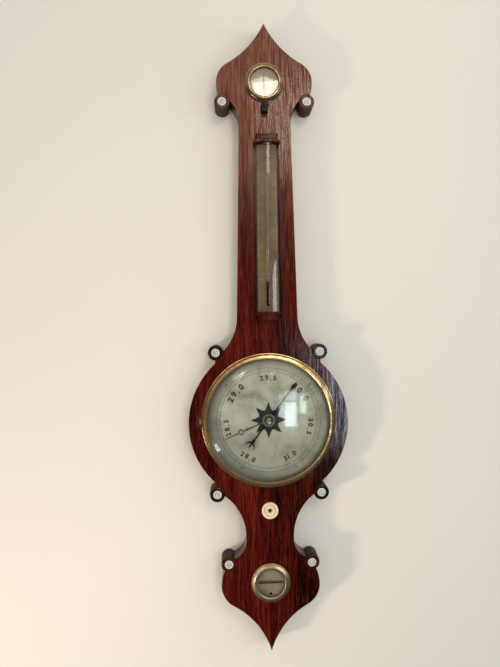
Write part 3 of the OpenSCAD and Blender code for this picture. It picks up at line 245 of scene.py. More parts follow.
pineTones = {"pineDark": tone(112, 78, 46), "pine": tone(168, 128, 82), "pinePale": tone(190, 154, 106)}
rosewood = newLook(
    "rosewoodVeneer", polishedWood, waver=16, figure=0.42, lines=0.75, rough=0.2, polish=1.0, gloss=0.14, shade=0.08,
    dark=tone(22, 3, 2), main=tone(64, 8, 4), red=tone(90, 18, 8), light=tone(114, 36, 16), pore=tone(14, 2, 1),
    fleck=tone(132, 66, 40), faded=tone(124, 74, 54), grime=(2, 18.5, -419, -131),
    dent=(21, -100, 5.5, tone(170, 126, 108)))
caseSides = newLook(
    "caseSides", caseWood, waver=10, figure=0.4, lines=0.6,
    dark=tone(22, 10, 8), main=tone(42, 20, 15), red=tone(54, 26, 18), light=tone(70, 36, 25), pore=tone(16, 8, 6),
    fleck=tone(80, 44, 30), **pineTones)
turnedWood = newLook(
    "turnedRosewood", polishedWood, waver=4, figure=0.3, lines=0.5, rough=0.18, polish=0.75, gloss=0.18,
    dark=tone(13, 7, 5), main=tone(30, 15, 11), red=tone(42, 22, 16), light=tone(62, 36, 27), pore=tone(9, 5, 4),
    fleck=tone(70, 44, 34), sides=tone(26, 22, 22))
headRollWood = newLook(
    "headRollRosewood", polishedWood, waver=4, figure=0.3, lines=0.5, rough=0.34, polish=0.35, gloss=0.28,
    dark=tone(48, 32, 25), main=tone(82, 59, 49), red=tone(94, 69, 57), light=tone(112, 87, 74), pore=tone(36, 24, 19),
    fleck=tone(124, 100, 88), sides=tone(64, 48, 41))
tailRollWood = newLook(
    "tailRollRosewood", polishedWood, waver=4, figure=0.3, lines=0.5, rough=0.2, polish=0.7, gloss=0.2,
    dark=tone(24, 8, 6), main=tone(54, 20, 14), red=tone(70, 28, 19), light=tone(88, 42, 30), pore=tone(15, 5, 4),
    fleck=tone(92, 48, 36), sides=tone(24, 20, 22))
capWood = newLook(
    "capRosewood", polishedWood, waver=6, figure=0.35, lines=0.6, rough=0.2, polish=0.7, gloss=0.18,
    dark=tone(22, 6, 4), main=tone(50, 15, 9), red=tone(70, 25, 14), light=tone(94, 42, 26), pore=tone(14, 5, 3),
    fleck=tone(104, 52, 34))
ebonyWood = newLook(
    "ebonisedBlock", polishedWood, waver=3, figure=0.3, lines=0.4, rough=0.3, polish=0.4, gloss=0.3,
    dark=tone(14, 11, 10), main=tone(26, 21, 19), red=tone(32, 26, 23), light=tone(44, 36, 32), pore=tone(9, 8, 7),
    fleck=tone(48, 40, 36))
softwood = newLook("agedPine", barePine, **pineTones)
boxwood = newLook(
    "turnedBoxwood", polishedWood, waver=3, figure=0.4, lines=0.2, rough=0.35, polish=0.2, gloss=0.3,
    dark=tone(148, 112, 62), main=tone(176, 138, 82), red=tone(188, 150, 94), light=tone(204, 170, 116),
    pore=tone(130, 96, 52), fleck=tone(210, 178, 126))


# metal

def agedMetal(start, place, look):
    # polished where it is touched, dull and brown where it isn't
    cloud = place.noise(0.06, 4, 0.6)
    speck = place.noise(0.9, 3, 0.6)
    dull = cloud.rise(0.42, 0.68) * look["tarnish"] + speck.rise(0.6, 0.74) * 0.35
    x, y, z = look["middle"]
    rim = place.shift((-x, -y, -z)).stretch(1, 0, 1).length()
    turned = start.xyz(rim * 2.6).noise(1, 3, 0.6)
    scratch = place.stretch(2.5, 2.5, 0.3).noise(1, 2, 0.6)
    colour = cloud.ramp((0.3, look["light"]), (0.55, look["main"]), (0.75, look["main"]))
    # dark rings: dirt in the turned lines, and painted shade on the inner slopes of the profile
    for ring, wide in look.get("dirtRings", ()):
        off = rim.math("ABSOLUTE", rim - ring)
        dull = dull.math("MAXIMUM", dull, off.rise(wide * 0.4, wide, 0.9, 0.0))
    colour = colour.towards(look["dark"], dull)
    metal = (1 - dull * look["crust"]) * look.get("bare", 1.0)
    if "boss" in look:  # the rim of the boss is worn bare
        bare = rim.rise(look["boss"] - 0.4, look["boss"] + 0.4, 1.0, 0.0) * rim.rise(6.0, 8.4, 0.25, 1.0)
        colour = colour.towards(look["worn"], bare * speck.rise(0.35, 0.6, 1.0, 0.5))
        metal = metal * (1 - bare * 0.9)
    return {
        "Base Color": colour,
        "Metallic": metal,
        "Roughness": dull * 0.3 + turned * 0.12 + look["rough"],
        "Normal": (turned * 0.7 + scratch * 0.3).bump(look["relief"], 0.00008),
    }


def silvering(start, place, look):
    # brushed silver on brass, gone grey and green in clouds
    x, y, z = look["middle"]
    cloud = place.noise(0.022, 6, 0.66, 0.4)
    stain = place.shift((31, 7, 53)).noise(0.045, 5, 0.66)
    speck = place.noise(0.7, 3, 0.6)
    brush = place.shift((-x, -y, -z)).stretch(0.8, 0.8, 6).noise(1, 2, 0.6)
    rim = place.shift((-x, -y, -z)).stretch(1, 0, 1).length()
    colour = cloud.ramp((0.32, look["dark"]), (0.48, look["main"]), (0.68, look["light"]))
    colour = colour.towards(look["stain"], stain.rise(0.5, 0.72) * look["stained"])
    colour = colour.towards(look["dark"], speck.rise(0.6, 0.72) * 0.5)
    across, out, up = place.split()
    # painted shade: darker towards the rim
    edge = rim.rise(look["edgeFrom"], look["edgeTo"]) * 0.8
    if "spared" in look:  # the painted shade is weaker at the right of the rim
        edge = edge * across.rise(x - 20, x + 80, 1.0, look["spared"])
    colour = colour.towards(look["edge"], edge)
    if "foot" in look:  # duller low down
        colour = colour.towards(look["dark"], up.rise(z - 70, z + 20, look["foot"], 0.0))
    if "browned" in look:  # painted shade under the rim at the top, an inverted V
        slope = across.math("ABSOLUTE", across - x) * 0.35
        colour = colour.towards(look["browned"], (up + slope).rise(z + 11.5, z + 17.5, 0.0, 0.85))
    return {
        "Base Color": colour,
        "Metallic": look["metal"],
        "Roughness": cloud * 0.2 + brush * 0.1 + look["rough"],
        "Normal": brush.bump(0.05, 0.00005),
    }


brassTones = {"light": tone(214, 199, 162), "main": tone(184, 164, 122), "dark": tone(74, 58, 38)}
dialMiddle = middleOf("dial_plate")
headMiddle = middleOf("hygrometer_dial")
tailMiddle = middleOf("level_plate")
bezelBrass = newLook(
    "bezelBrass", agedMetal, middle=dialMiddle, tarnish=0.45, crust=0.4, rough=0.15, relief=0.1, bare=0.84,
    dirtRings=((96.9, 1.4), (105.0, 1.0)), light=tone(202, 178, 132), main=tone(166, 141, 97), dark=tone(62, 45, 27))
headBrass = newLook(
    "headBezelBrass", agedMetal, middle=headMiddle, tarnish=0.6, crust=0.4, rough=0.22, relief=0.1,
    dirtRings=((29.4, 1.2), (26.2, 0.9), (22.6, 1.3)), light=tone(172, 157, 132), main=tone(132, 116, 90),
    dark=tone(54, 41, 28))
tailBrass = newLook(
    "tailBezelBrass", agedMetal, middle=tailMiddle, tarnish=0.6, crust=0.35, rough=0.33, relief=0.1,
    dirtRings=((29.6, 0.7), (22.6, 0.8)), light=tone(206, 198, 172), main=tone(176, 166, 136), dark=tone(84, 73, 54))
brass = newLook("workBrass", agedMetal, middle=dialMiddle, tarnish=0.5, crust=0.3, rough=0.3, relief=0.06, **brassTones)
darkBrass = newLook(
    "darkenedBrass", agedMetal, middle=dialMiddle, tarnish=0.8, crust=0.7, rough=0.4, relief=0.06,
    light=tone(60, 50, 42), main=tone(42, 33, 27), dark=tone(28, 20, 16))
hingeBrass = newLook(
    "hingeBrass", agedMetal, middle=dialMiddle, tarnish=0.8, crust=0.8, rough=0.4, relief=0.06, bare=0.3,
    light=tone(84, 34, 22), main=tone(62, 21, 13), dark=tone(40, 12, 8))
handBrass = newLook(
    "setHandBrass", agedMetal, middle=dialMiddle, tarnish=0.5, crust=0.5, rough=0.34, relief=0.04,
    light=tone(140, 118, 88), main=tone(108, 88, 64), dark=tone(66, 54, 42))
bluedSteel = newLook(
    "bluedSteel", agedMetal, middle=dialMiddle, tarnish=0.5, crust=0.6, rough=0.3, relief=0.04,
    boss=10.4, worn=tone(128, 121, 116), light=tone(40, 43, 52), main=tone(25, 26, 31), dark=tone(22, 19, 18))
steel = newLook(
    "paleSteel", agedMetal, middle=dialMiddle, tarnish=0.4, crust=0.4, rough=0.28, relief=0.05,
    light=tone(178, 180, 184), main=tone(150, 152, 156), dark=tone(92, 80, 68))
quicksilver = newLook(
    "quicksilver", agedMetal, middle=dialMiddle, tarnish=0.0, crust=0.0, rough=0.02, relief=0.0,
    light=tone(216, 218, 221), main=tone(204, 206, 210), dark=tone(170, 172, 176))
dialSilver = newLook(
    "dialSilver", silvering, middle=dialMiddle, metal=0.1, rough=0.42, stained=0.5,
    edgeFrom=76, edgeTo=96, foot=0.45, spared=0.3,
    dark=tone(146, 141, 125), main=tone(190, 185, 169), light=tone(212, 207, 192), stain=tone(164, 157, 143),
    edge=tone(112, 114, 102))
scaleSilver = newLook(
    "scaleSilver", silvering, middle=middleOf("thermometer_scale"), metal=0.3, rough=0.45, stained=0.6,
    edgeFrom=15, edgeTo=400,
    dark=tone(86, 70, 52), main=tone(121, 103, 80), light=tone(140, 124, 101), stain=tone(98, 90, 62),
    edge=tone(104, 87, 64))
levelSilver = newLook(
    "levelSilver", silvering, middle=tailMiddle, metal=0.3, rough=0.42, stained=0.6, edgeFrom=15, edgeTo=26,
    dark=tone(112, 97, 80), main=tone(154, 137, 116), light=tone(176, 160, 139), stain=tone(136, 124, 103),
    edge=tone(118, 104, 83))
hygroSilver = newLook(
    "hygrometerSilver", silvering, middle=headMiddle, metal=0.0, rough=0.34, stained=0.4, edgeFrom=17, edgeTo=27,
    dark=tone(236, 222, 202), main=tone(250, 241, 226), light=tone(253, 247, 236), stain=tone(242, 222, 206),
    edge=tone(222, 202, 174), browned=tone(128, 108, 92))


# shell, bone, lacquer, ink and thread

def motherOfPearl(start, place, look):
    bend = place.noise(0.22, 3, 0.6)
    band = place.shift(start.xyz(bend * 7, 0.0, bend * 5)).noise(0.33, 2, 0.5, 1.2)
    colour = band.ramp(
        (0.28, look["grey"]), (0.42, look["green"]), (0.5, look["pale"]), (0.6, look["pink"]), (0.72, look["grey"]))
    cut = start.node("ShaderNodeAttribute", {"attribute_name": "engraved"}, out="Fac")
    return {
        "Base Color": colour.towards(look["cut"], cut * 0.85),
        "Roughness": band * 0.2 + 0.2,
        "Coat Weight": 0.6,
        "Coat Roughness": 0.08,
    }


def bonePolish(start, place, look):
    fibre = place.stretch(0.9, 0.9, 0.07).noise(1, 3, 0.55)
    stain = place.noise(0.12, 4, 0.6)
    colour = fibre.ramp((0.3, look["dark"]), (0.5, look["main"]), (0.7, look["light"]))
    colour = colour.towards(look["stain"], stain.rise(0.52, 0.72) * 0.5)
    x, y, z = look["middle"]
    rim = place.shift((-x, -y, -z)).stretch(1, 0, 1).length()
    for ring, wide in look["rings"]:  # dirt in the turned lines
        off = rim.math("ABSOLUTE", rim - ring)
        colour = colour.towards(look["dirt"], off.rise(wide * 0.3, wide, 0.75, 0.0))
    return {
        "Base Color": colour,
        "Roughness": stain * 0.25 + 0.22,
        "Normal": fibre.bump(0.06, 0.0001),
        "Coat Weight": 0.25,
        "Coat Roughness": 0.2,
    }


def paintedSurface(start, place, look):
    patch = place.noise(0.5, 4, 0.6)
    colour = patch.ramp((0.3, look["dark"]), (0.5, look["main"]), (0.72, look["light"]))
    return {
        "Base Color": colour,
        "Roughness": patch * 0.3 + look["rough"],
        "Normal": patch.bump(0.06, 0.00006),
    }


def dyedSpirit(start, place, look):
    # dark where it lies thick in the bulb, pale in the fine bore above
    patch = place.noise(0.5, 3)
    thin = place.split()[2].rise(look["bulbTop"] - 2, look["bulbTop"] + 3)
    colour = patch.ramp((0.3, look["dark"]), (0.7, look["light"])).towards(look["thin"], thin)
    return {"Base Color": colour, "Roughness": patch * 0.1 + 0.03}


def twistedStrand(start, place, look):
    # a fine lay of yarns that climbs the thread
    x, y, z = place.split()
    lay = (x * 1.4 + y * 1.4 + z) * look["lay"]
    ply = lay.math("SINE", lay) * 0.5 + 0.5
    fuzz = place.noise(2.2, 2)
    return {
        "Base Color": (ply * 0.6 + fuzz * 0.4).ramp((0.25, look["dark"]), (0.5, look["main"]), (0.8, look["light"])),
        "Roughness": fuzz * 0.2 + 0.6,
        "Normal": ply.bump(0.3, 0.0001),
    }


pearl = newLook(
    "motherOfPearl", motherOfPearl, grey=tone(164, 161, 154), green=tone(186, 191, 184), pale=tone(226, 223, 216),
    pink=tone(206, 193, 187), cut=tone(58, 51, 45))
bone = newLook(
    "boneKnob", bonePolish, middle=middleOf("set_knob"), rings=((8.7, 0.9), (3.4, 1.2)), dirt=tone(150, 118, 78),
    dark=tone(216, 190, 148), main=tone(243, 225, 188), light=tone(248, 235, 206), stain=tone(222, 192, 142))
lacquer = newLook(
    "blackLacquer", paintedSurface, rough=0.4, dark=tone(13, 13, 13), main=tone(24, 24, 24), light=tone(44, 43, 42))
ink = newLook(
    "engravingWax", paintedSurface, rough=0.5, dark=tone(26, 23, 20), main=tone(44, 40, 35), light=tone(74, 68, 60))
paleInk = newLook(
    "wornEngraving", paintedSurface, rough=0.5, dark=tone(62, 50, 38), main=tone(82, 68, 52), light=tone(108, 92, 72))
spirit = newLook(
    "dyedSpirit", dyedSpirit, bulbTop=-360, dark=tone(24, 12, 30), light=tone(52, 26, 60), thin=tone(138, 116, 104))
levelSpirit = newLook(
    "levelSpirit", paintedSurface, rough=0.05, dark=tone(70, 60, 46), main=tone(92, 80, 62), light=tone(120, 106, 84))
silk = newLook(
    "silkThread", twistedStrand, lay=5.0, dark=tone(84, 98, 74), main=tone(116, 132, 102), light=tone(146, 160, 130))
gut = newLook(
    "gutCord", twistedStrand, lay=3.0, dark=tone(120, 98, 60), main=tone(162, 138, 90), light=tone(190, 168, 120))


# glass: clear straight through, a skin of reflection on its outer faces

def newGlass(name, tint, bend, haze, milk=0.0, milkFrom=0.0):
    # bend is the index of its skin, haze the roughness of its smears, milk a film above the height milkFrom
    made = bpy.data.materials.new(name)
    start = emptyTree(made)
    place = start.node("ShaderNodeTexCoord", out="Object").stretch(1000, 1000, 1000)
    smear = place.noise(0.05, 4, 0.6)
    outside = 1 - start.node("ShaderNodeNewGeometry", out="Backfacing")
    shine = start.node("ShaderNodeFresnel", None, {"IOR": bend}) * outside
    clear = start.node("ShaderNodeBsdfTransparent", None, {"Color": tint})
    mirror = start.node("ShaderNodeBsdfGlossy", None, {"Roughness": smear * haze, "Color": (1.0, 1.0, 1.0, 1.0)})
    if milk:
        film = start.node("ShaderNodeBsdfDiffuse", None, {"Color": tone(168, 158, 143)})
        share = smear.rise(0.3, 0.7, milk * 0.7, milk) * place.split()[2].rise(milkFrom - 2, milkFrom + 2)
        clear = start.node("ShaderNodeMixShader", None, {0: share, 1: clear, 2: film})
    pane = start.node("ShaderNodeMixShader", None, {0: shine, 1: clear, 2: mirror})
    start.node("ShaderNodeOutputMaterial", None, {"Surface": pane})
    return made


dialGlass = newGlass("dialGlass", (0.955, 0.97, 0.955, 1.0), bend=1.7, haze=0.17)
smallGlass = newGlass("smallGlass", (0.97, 0.975, 0.965, 1.0), bend=1.6, haze=0.06)
headGlass = newGlass("headGlass", (0.985, 0.985, 0.98, 1.0), bend=1.9, haze=0.06)
bowedGlass = newGlass("bowedGlass", (0.94, 0.935, 0.91, 1.0), bend=1.5, haze=0.1)
tubeGlass = newGlass("tubeGlass", (0.95, 0.95, 0.93, 1.0), bend=1.28, haze=0.5, milk=0.36, milkFrom=-359)
print("finishes made,", len(bpy.data.materials), "materials")


# every CAD piece keeps its own solid and takes a finish from its slot, or its own finish
slotLooks = {
    "softwood": softwood, "rosewood": rosewood, "dark_rosewood": turnedWood, "pearl": pearl, "brass": brass,
    "silvered_brass": dialSilver, "black_lacquer": lacquer, "blued_steel": bluedSteel, "steel": steel, "bone": bone,
    "glass": tubeGlass, "mercury": quicksilver, "spirit": spirit, "vial": levelSpirit, "silk": silk, "gut": gut,
    "boxwood": boxwood, "white_enamel": hygroSilver, "ebony": ebonyWood,
}
ownLooks = {
    "carcass": caseSides, "head_rolls": headRollWood, "tail_rolls": tailRollWood,
    "bezel": bezelBrass, "bezel_glass": dialGlass, "bezel_hinge_leaf": hingeBrass,
    "hygrometer_bezel": headBrass, "hygrometer_glass": headGlass, "hygrometer_dial": hygroSilver,
    "thermometer_scale": scaleSilver, "thermometer_glass": bowedGlass, "thermometer_caps": capWood,
    "level_bezel": tailBrass, "level_glass": smallGlass, "level_plate": levelSilver,
    "set_hand": handBrass, "set_arbor": darkBrass, "front_screws": darkBrass,
}
for name, cadNode in cadNodes.items():
    cadNode.data.materials.clear()
    cadNode.data.materials.append(ownLooks.get(name) or slotLooks[slotOf[name]])
print("finishes on", len(cadNodes), "CAD nodes")


# pieces added to the solids

def placePiece(made, body):
    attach(made, body)
    return made


def newTree(name, sockets):
    tree = bpy.data.node_groups.new(name, "GeometryNodeTree")
    tree.interface.new_socket("Geometry", in_out="OUTPUT", socket_type="NodeSocketGeometry")
    for label, kind in sockets.items():
        tree.interface.new_socket(label, in_out="INPUT", socket_type="NodeSocket" + kind)
    entry = tree.nodes.new("NodeGroupInput")
    return tree, {label: Wire(tree, entry.outputs[label]) for label in sockets}


def endTree(tree, shape, look):
    solid = shape.node("GeometryNodeRealizeInstances", None, {0: shape})
    solid = solid.node("GeometryNodeSetMaterial", None, {"Geometry": solid, "Material": look})
    solid.node("NodeGroupOutput", None, {"Geometry": solid})


def grow(name, tree, values, mesh=None):
    # runs a tree on a new object and keeps the result as a plain mesh
    made = bpy.data.objects.new(name, mesh or bpy.data.meshes.new(name))
    scene.collection.objects.link(made)
    modifier = made.modifiers.new("grow", "NODES")
    modifier.node_group = tree
    for item in tree.interface.items_tree:
        if item.in_out == "INPUT" and item.name in values:
            modifier[item.identifier] = values[item.name]
    grown = plainMesh(made)
    made.modifiers.remove(modifier)
    made.data = grown
    return made


def tickRingTree():
    tree, t = newTree("ringOfTicks", {
        "Count": "Int", "First": "Float", "Step": "Float", "Radius": "Float", "Long": "Float", "Wide": "Float",
        "Thick": "Float", "Centre": "Vector", "Ink": "Material"})
    start = Wire(tree)
    angle = (t["First"] + start.node("GeometryNodeInputIndex") * t["Step"]) * (math.pi / 180)  # clockwise from the top
    spot = start.xyz(angle.math("SINE", angle) * t["Radius"], 0.0, angle.math("COSINE", angle) * t["Radius"])
    points = start.node("GeometryNodePoints", None, {"Count": t["Count"], "Position": spot.shift(t["Centre"])})
    bar = start.node("GeometryNodeMeshCube", None, {"Size": start.xyz(t["Wide"], t["Thick"], t["Long"])})
    turn = start.node("FunctionNodeEulerToRotation", None, {0: start.xyz(0.0, angle, 0.0)})
    marks = start.node("GeometryNodeInstanceOnPoints", None, {"Points": points, "Instance": bar, "Rotation": turn})
    endTree(tree, marks, t["Ink"])
    return tree


def tickRowTree():
    tree, t = newTree("rowOfTicks", {
        "Count": "Int", "Step": "Float", "Long": "Float", "Wide": "Float", "Thick": "Float", "Foot": "Vector",
        "Ink": "Material"})
    start = Wire(tree)
    climb = start.node("GeometryNodeInputIndex") * t["Step"]
    points = start.node(
        "GeometryNodePoints", None, {"Count": t["Count"], "Position": start.xyz(0.0, 0.0, climb).shift(t["Foot"])})
    bar = start.node("GeometryNodeMeshCube", None, {"Size": start.xyz(t["Long"], t["Thick"], t["Wide"])})
    marks = start.node("GeometryNodeInstanceOnPoints", None, {"Points": points, "Instance": bar})
    endTree(tree, marks, t["Ink"])
    return tree


def engravedCircleTree():
    tree, t = newTree("engravedCircle", {"Radius": "Float", "Wide": "Float", "Centre": "Vector", "Ink": "Material"})
    start = Wire(tree)
    path = start.node("GeometryNodeCurvePrimitiveCircle", None, {"Resolution": 180, "Radius": t["Radius"]})
    path = start.node("GeometryNodeTransform", None, {
        "Geometry": path, "Translation": t["Centre"], "Rotation": (math.pi / 2, 0.0, 0.0)})
    strand = start.node("GeometryNodeCurvePrimitiveQuadrilateral", None, {"Width": t["Wide"], "Height": t["Wide"]})
    line = start.node("GeometryNodeCurveToMesh", None, {"Curve": path, "Profile Curve": strand})
    endTree(tree, line, t["Ink"])
    return tree


tickRing = tickRingTree()
tickRow = tickRowTree()
engravedCircle = engravedCircleTree()
figureCut = {"thick": 0.01, "bolder": 0.038, "steps": 3}
glyphs = {}


def glyph(letter):
    # one figure as a flat mesh, one unit high, standing on the x axis about its middle
    if letter not in glyphs:
        curve = bpy.data.curves.new("figure", "FONT")
        curve.body = letter
        curve.extrude = figureCut["thick"]
        curve.offset = figureCut["bolder"]
        curve.resolution_u = figureCut["steps"]
        holder = bpy.data.objects.new("figure", curve)
        scene.collection.objects.link(holder)
        mesh = plainMesh(holder)
        bpy.data.objects.remove(holder)
        xs = [v.co.x for v in mesh.vertices]
        ys = [v.co.y for v in mesh.vertices]
        mesh.transform(Matrix.Translation((-(min(xs) + max(xs)) / 2, 0 if letter == "." else -min(ys), 0)))
        glyphs[letter] = (mesh, max(xs) - min(xs))
    return glyphs[letter]


def addWriting(bm, words, size, matrix, radius=None, gap=0.1):
    # a row of figures, bent round a circle of that radius where one is given
    widths = [glyph(letter)[1] for letter in words]
    reach = -(sum(widths) + gap * (len(words) - 1)) / 2
    for letter, width in zip(words, widths):
        along = (reach + width / 2) * size
        reach += width + gap
        put = Matrix.Rotation(math.pi / 2, 4, "X") @ Matrix.Scale(size, 4)
        if radius:
            put = Matrix.Rotation(along / radius, 4, "Y") @ Matrix.Translation((0, 0, radius)) @ put
        else:
            put = Matrix.Translation((along, 0, 0)) @ put
        copy = glyph(letter)[0].copy()
        copy.transform(matrix @ put)
        bm.from_mesh(copy)
        bpy.data.meshes.remove(copy)


def meshPiece(name, bm, look, body):
    bmesh.ops.remove_doubles(bm, verts=bm.verts, dist=1e-7)
    mesh = bpy.data.meshes.new(name)
    bm.to_mesh(mesh)
    bm.free()
    mesh.materials.append(look)
    made = bpy.data.objects.new(name, mesh)
    scene.collection.objects.link(made)
    return placePiece(made, body)


# main dial: 100 degrees to the inch, 29.5 at the top
dialMarks = {
    "circles": (0.0775, 0.0835, 0.0942), "line": 0.00042, "thick": 0.00016, "first": -150, "last": 150,
    "fine": {"Step": 2, "Radius": 0.0805, "Long": 0.0058, "Wide": 0.00022},
    "coarse": {"Step": 10, "Radius": 0.0815, "Long": 0.0085, "Wide": 0.0004},
    "figures": {-150: "28.0", -100: "28.5", -50: "29.0", 0: "29.5", 50: "30.0", 100: "30.5", 150: "31.0"},
    "bold": (-50, 50), "bigSize": 0.0132, "size": 0.0108, "figureRadius": 0.0638, "spread": 0.22,
    "uprightFrom": 120,
    "inches": {-150: "28", -50: "29", 50: "30", 150: "31"}, "inchSize": 0.0042, "inchRadius": 0.0862,
}
dialCentre = Vector((0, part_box("dial_plate")[0].y, dialMiddle[2] / 1000))


def dialWriting():
    m = dialMarks
    span = m["last"] - m["first"]
    common = {"Thick": m["thick"], "Centre": dialCentre, "Ink": ink, "First": m["first"]}
    for name, tick in (("dialFineTicks", m["fine"]), ("dialCoarseTicks", m["coarse"])):
        ticks = grow(name, tickRing, {**common, **tick, "Count": span // tick["Step"] + 1})
        placePiece(ticks, "case")
    for number, radius in enumerate(m["circles"]):
        ring = grow("dialCircle" + str(number + 1), engravedCircle, {
            "Radius": radius, "Wide": m["line"], "Centre": dialCentre, "Ink": ink})
        placePiece(ring, "case")
    bm = bmesh.new()
    lift = Matrix.Translation(dialCentre)
    for angle, words in m["figures"].items():
        size = m["bigSize"] if angle in m["bold"] else m["size"]
        turned = Matrix.Rotation(math.radians(angle), 4, "Y")
        if abs(angle) < m["uprightFrom"]:
            addWriting(bm, words, size, lift @ turned, m["figureRadius"], m["spread"])
        else:  # low figures stand upright, their feet on the outer circle
            upright = Matrix.Rotation(math.pi, 4, "Y")
            feet = Matrix.Translation((0, 0, m["figureRadius"] + size * 0.7))
            addWriting(bm, words, size, lift @ turned @ feet @ upright, None, m["spread"])
    for angle, words in m["inches"].items():
        addWriting(bm, words, m["inchSize"], lift @ Matrix.Rotation(math.radians(angle), 4, "Y"), m["inchRadius"])
    meshPiece("dialFigures", bm, ink, "case")


dialWriting()
print("main dial marked")

# hygrometer: ticks and tens about the top of a small dial
hygroMarks = {"first": -80, "step": 16, "count": 11, "radius": 0.0188, "long": 0.0022, "wide": 0.00026,
              "thick": 0.00012, "line": 0.0003,
              "figures": {-80: "0", -40: "25", 0: "50", 40: "75", 80: "100"}, "size": 0.0034, "figureRadius": 0.0142}


def hygrometerWriting():
    m = hygroMarks
    low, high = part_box("hygrometer_dial")
    centre = Vector((0, low.y, (low.z + high.z) / 2))
    ticks = grow("hygrometerTicks", tickRing, {
        "Count": m["count"], "First": m["first"], "Step": m["step"], "Radius": m["radius"], "Long": m["long"],
        "Wide": m["wide"], "Thick": m["thick"], "Centre": centre, "Ink": paleInk})
    placePiece(ticks, "case")
    ring = grow("hygrometerCircle", engravedCircle, {
        "Radius": m["radius"] + m["long"] / 2, "Wide": m["line"], "Centre": centre, "Ink": paleInk})
    placePiece(ring, "case")
    bm = bmesh.new()
    for angle, words in m["figures"].items():
        turned = Matrix.Translation(centre) @ Matrix.Rotation(math.radians(angle), 4, "Y")
        addWriting(bm, words, m["size"], turned, m["figureRadius"])
    meshPiece("hygrometerFigures", bm, paleInk, "case")


hygrometerWriting()
print("hygrometer marked")

# thermometer: ticks at both sides of the tube, figures at the edges, and two wire clips that hold the tube
thermoMarks = {"inset": 0.03, "aboveBulb": 0.056, "ticks": 61, "perTen": 5,
               "long": 0.003, "wide": 0.00024, "thick": 0.00012, "beside": 0.0062,
               "tenLong": 0.005, "tenWide": 0.00036, "tenThick": 0.00014, "tenBeside": 0.0072,
               "figureX": 0.0118, "size": 0.0032}
tubeWires = {"clips": (-0.1600, -0.3555), "wire": 0.0005, "tube": 0.0023, "inset": 0.0012, "lift": 0.0006, "steps": 10}


def thermometerWriting():
    m = thermoMarks
    low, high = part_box("thermometer_scale")
    middle = (low.x + high.x) / 2
    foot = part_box("thermometer_spirit")[0].z + m["aboveBulb"]
    step = (high.z - m["inset"] - foot) / (m["ticks"] - 1)
    tens = m["ticks"] // m["perTen"] + 1
    for side, label in ((-1, "Left"), (1, "Right")):
        fine = grow("thermometerTicks" + label, tickRow, {
            "Count": m["ticks"], "Step": step, "Long": m["long"], "Wide": m["wide"], "Thick": m["thick"],
            "Foot": (middle + side * m["beside"], low.y, foot), "Ink": paleInk})
        coarse = grow("thermometerTens" + label, tickRow, {
            "Count": tens, "Step": step * m["perTen"], "Long": m["tenLong"], "Wide": m["tenWide"],
            "Thick": m["tenThick"], "Foot": (middle + side * m["tenBeside"], low.y, foot), "Ink": paleInk})
        placePiece(fine, "case")
        placePiece(coarse, "case")
    bm = bmesh.new()
    for number in range(tens):
        for side in (-1, 1):
            spot = (middle + side * m["figureX"], low.y, foot + number * m["perTen"] * step - m["size"] * 0.35)
            addWriting(bm, str(10 + number * 10), m["size"], Matrix.Translation(spot))
    meshPiece("thermometerFigures", bm, paleInk, "case")


def tubeClips():
    # each clip is one wire, flat on the scale and bowed over the tube
    m = tubeWires
    low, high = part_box("thermometer_scale")
    tubeLow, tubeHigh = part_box("thermometer_tube")
    middle = (low.x + high.x) / 2
    reach = high.x - middle - m["inset"]
    tubeMid = (tubeLow.y + tubeHigh.y) / 2
    stem = m["tube"] + m["wire"] * 1.2
    flat = low.y - m["wire"]
    raised = flat - m["lift"]
    turns = [i * math.pi / m["steps"] for i in range(m["steps"] + 1)]
    curve = bpy.data.curves.new("tubeClips", "CURVE")
    curve.dimensions = "3D"
    curve.bevel_depth = m["wire"]
    curve.bevel_resolution = 2
    curve.use_fill_caps = True
    for z in m["clips"]:
        path = [(-reach, flat), (-stem * 1.5, flat), (-stem * 1.1, raised)]
        path += [(-stem * math.cos(a), tubeMid - stem * math.sin(a)) for a in turns]
        path += [(stem * 1.1, raised), (stem * 1.5, flat), (reach, flat)]
        spline = curve.splines.new("POLY")
        spline.points.add(len(path) - 1)
        for point, (x, y) in zip(spline.points, path):
            point.co = (middle + x, y, z, 1)
    holder = bpy.data.objects.new("tubeClipWires", curve)
    scene.collection.objects.link(holder)
    mesh = plainMesh(holder)
    bpy.data.objects.remove(holder)
    bm = bmesh.new()
    bm.from_mesh(mesh)
    meshPiece("tubeClips", bm, steel, "case")


thermometerWriting()
tubeClips()
print("thermometer marked, tube clipped")


# spirit level: a small pointer engraved over the middle of the slot
levelMark = {"wide": 0.0034, "tall": 0.0026, "rise": 0.0035, "thick": 0.00012}


def levelPointer():
    m = levelMark
    low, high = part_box("level_plate")
    middle = (low.z + high.z) / 2
    bm = bmesh.new()
    foot = middle + m["rise"]
    corners = [(-m["wide"] / 2, foot), (m["wide"] / 2, foot), (0, foot + m["tall"])]
    front = [bm.verts.new((x, low.y - m["thick"], z)) for x, z in corners]
    back = [bm.verts.new((x, low.y + m["thick"], z)) for x, z in corners]
    bm.faces.new(front)
    bm.faces.new(back[::-1])
    for i in range(3):
        bm.faces.new((front[i], back[i], back[i - 2], front[i - 2]))
    bmesh.ops.recalc_face_normals(bm, faces=bm.faces)
    meshPiece("levelPointer", bm, paleInk, "case")


levelPointer()

# mother-of-pearl discs, each turned with a ring and a dot cut into it
pearlDisc = {"radius": 0.00686, "thick": 0.0012, "dome": 0.00025, "ring": (0.0034, 0.0039), "dot": 0.0009,
             "depth": 0.00022, "segments": 40, "turn": 6.28, "seed": 7}
# x and z of the rolls at the right; the left ones mirror them
rollCentres = [(0.0675, -0.0735), (0.0834, -0.4715), (0.0834, -0.6975), (0.0666, -0.8095)]


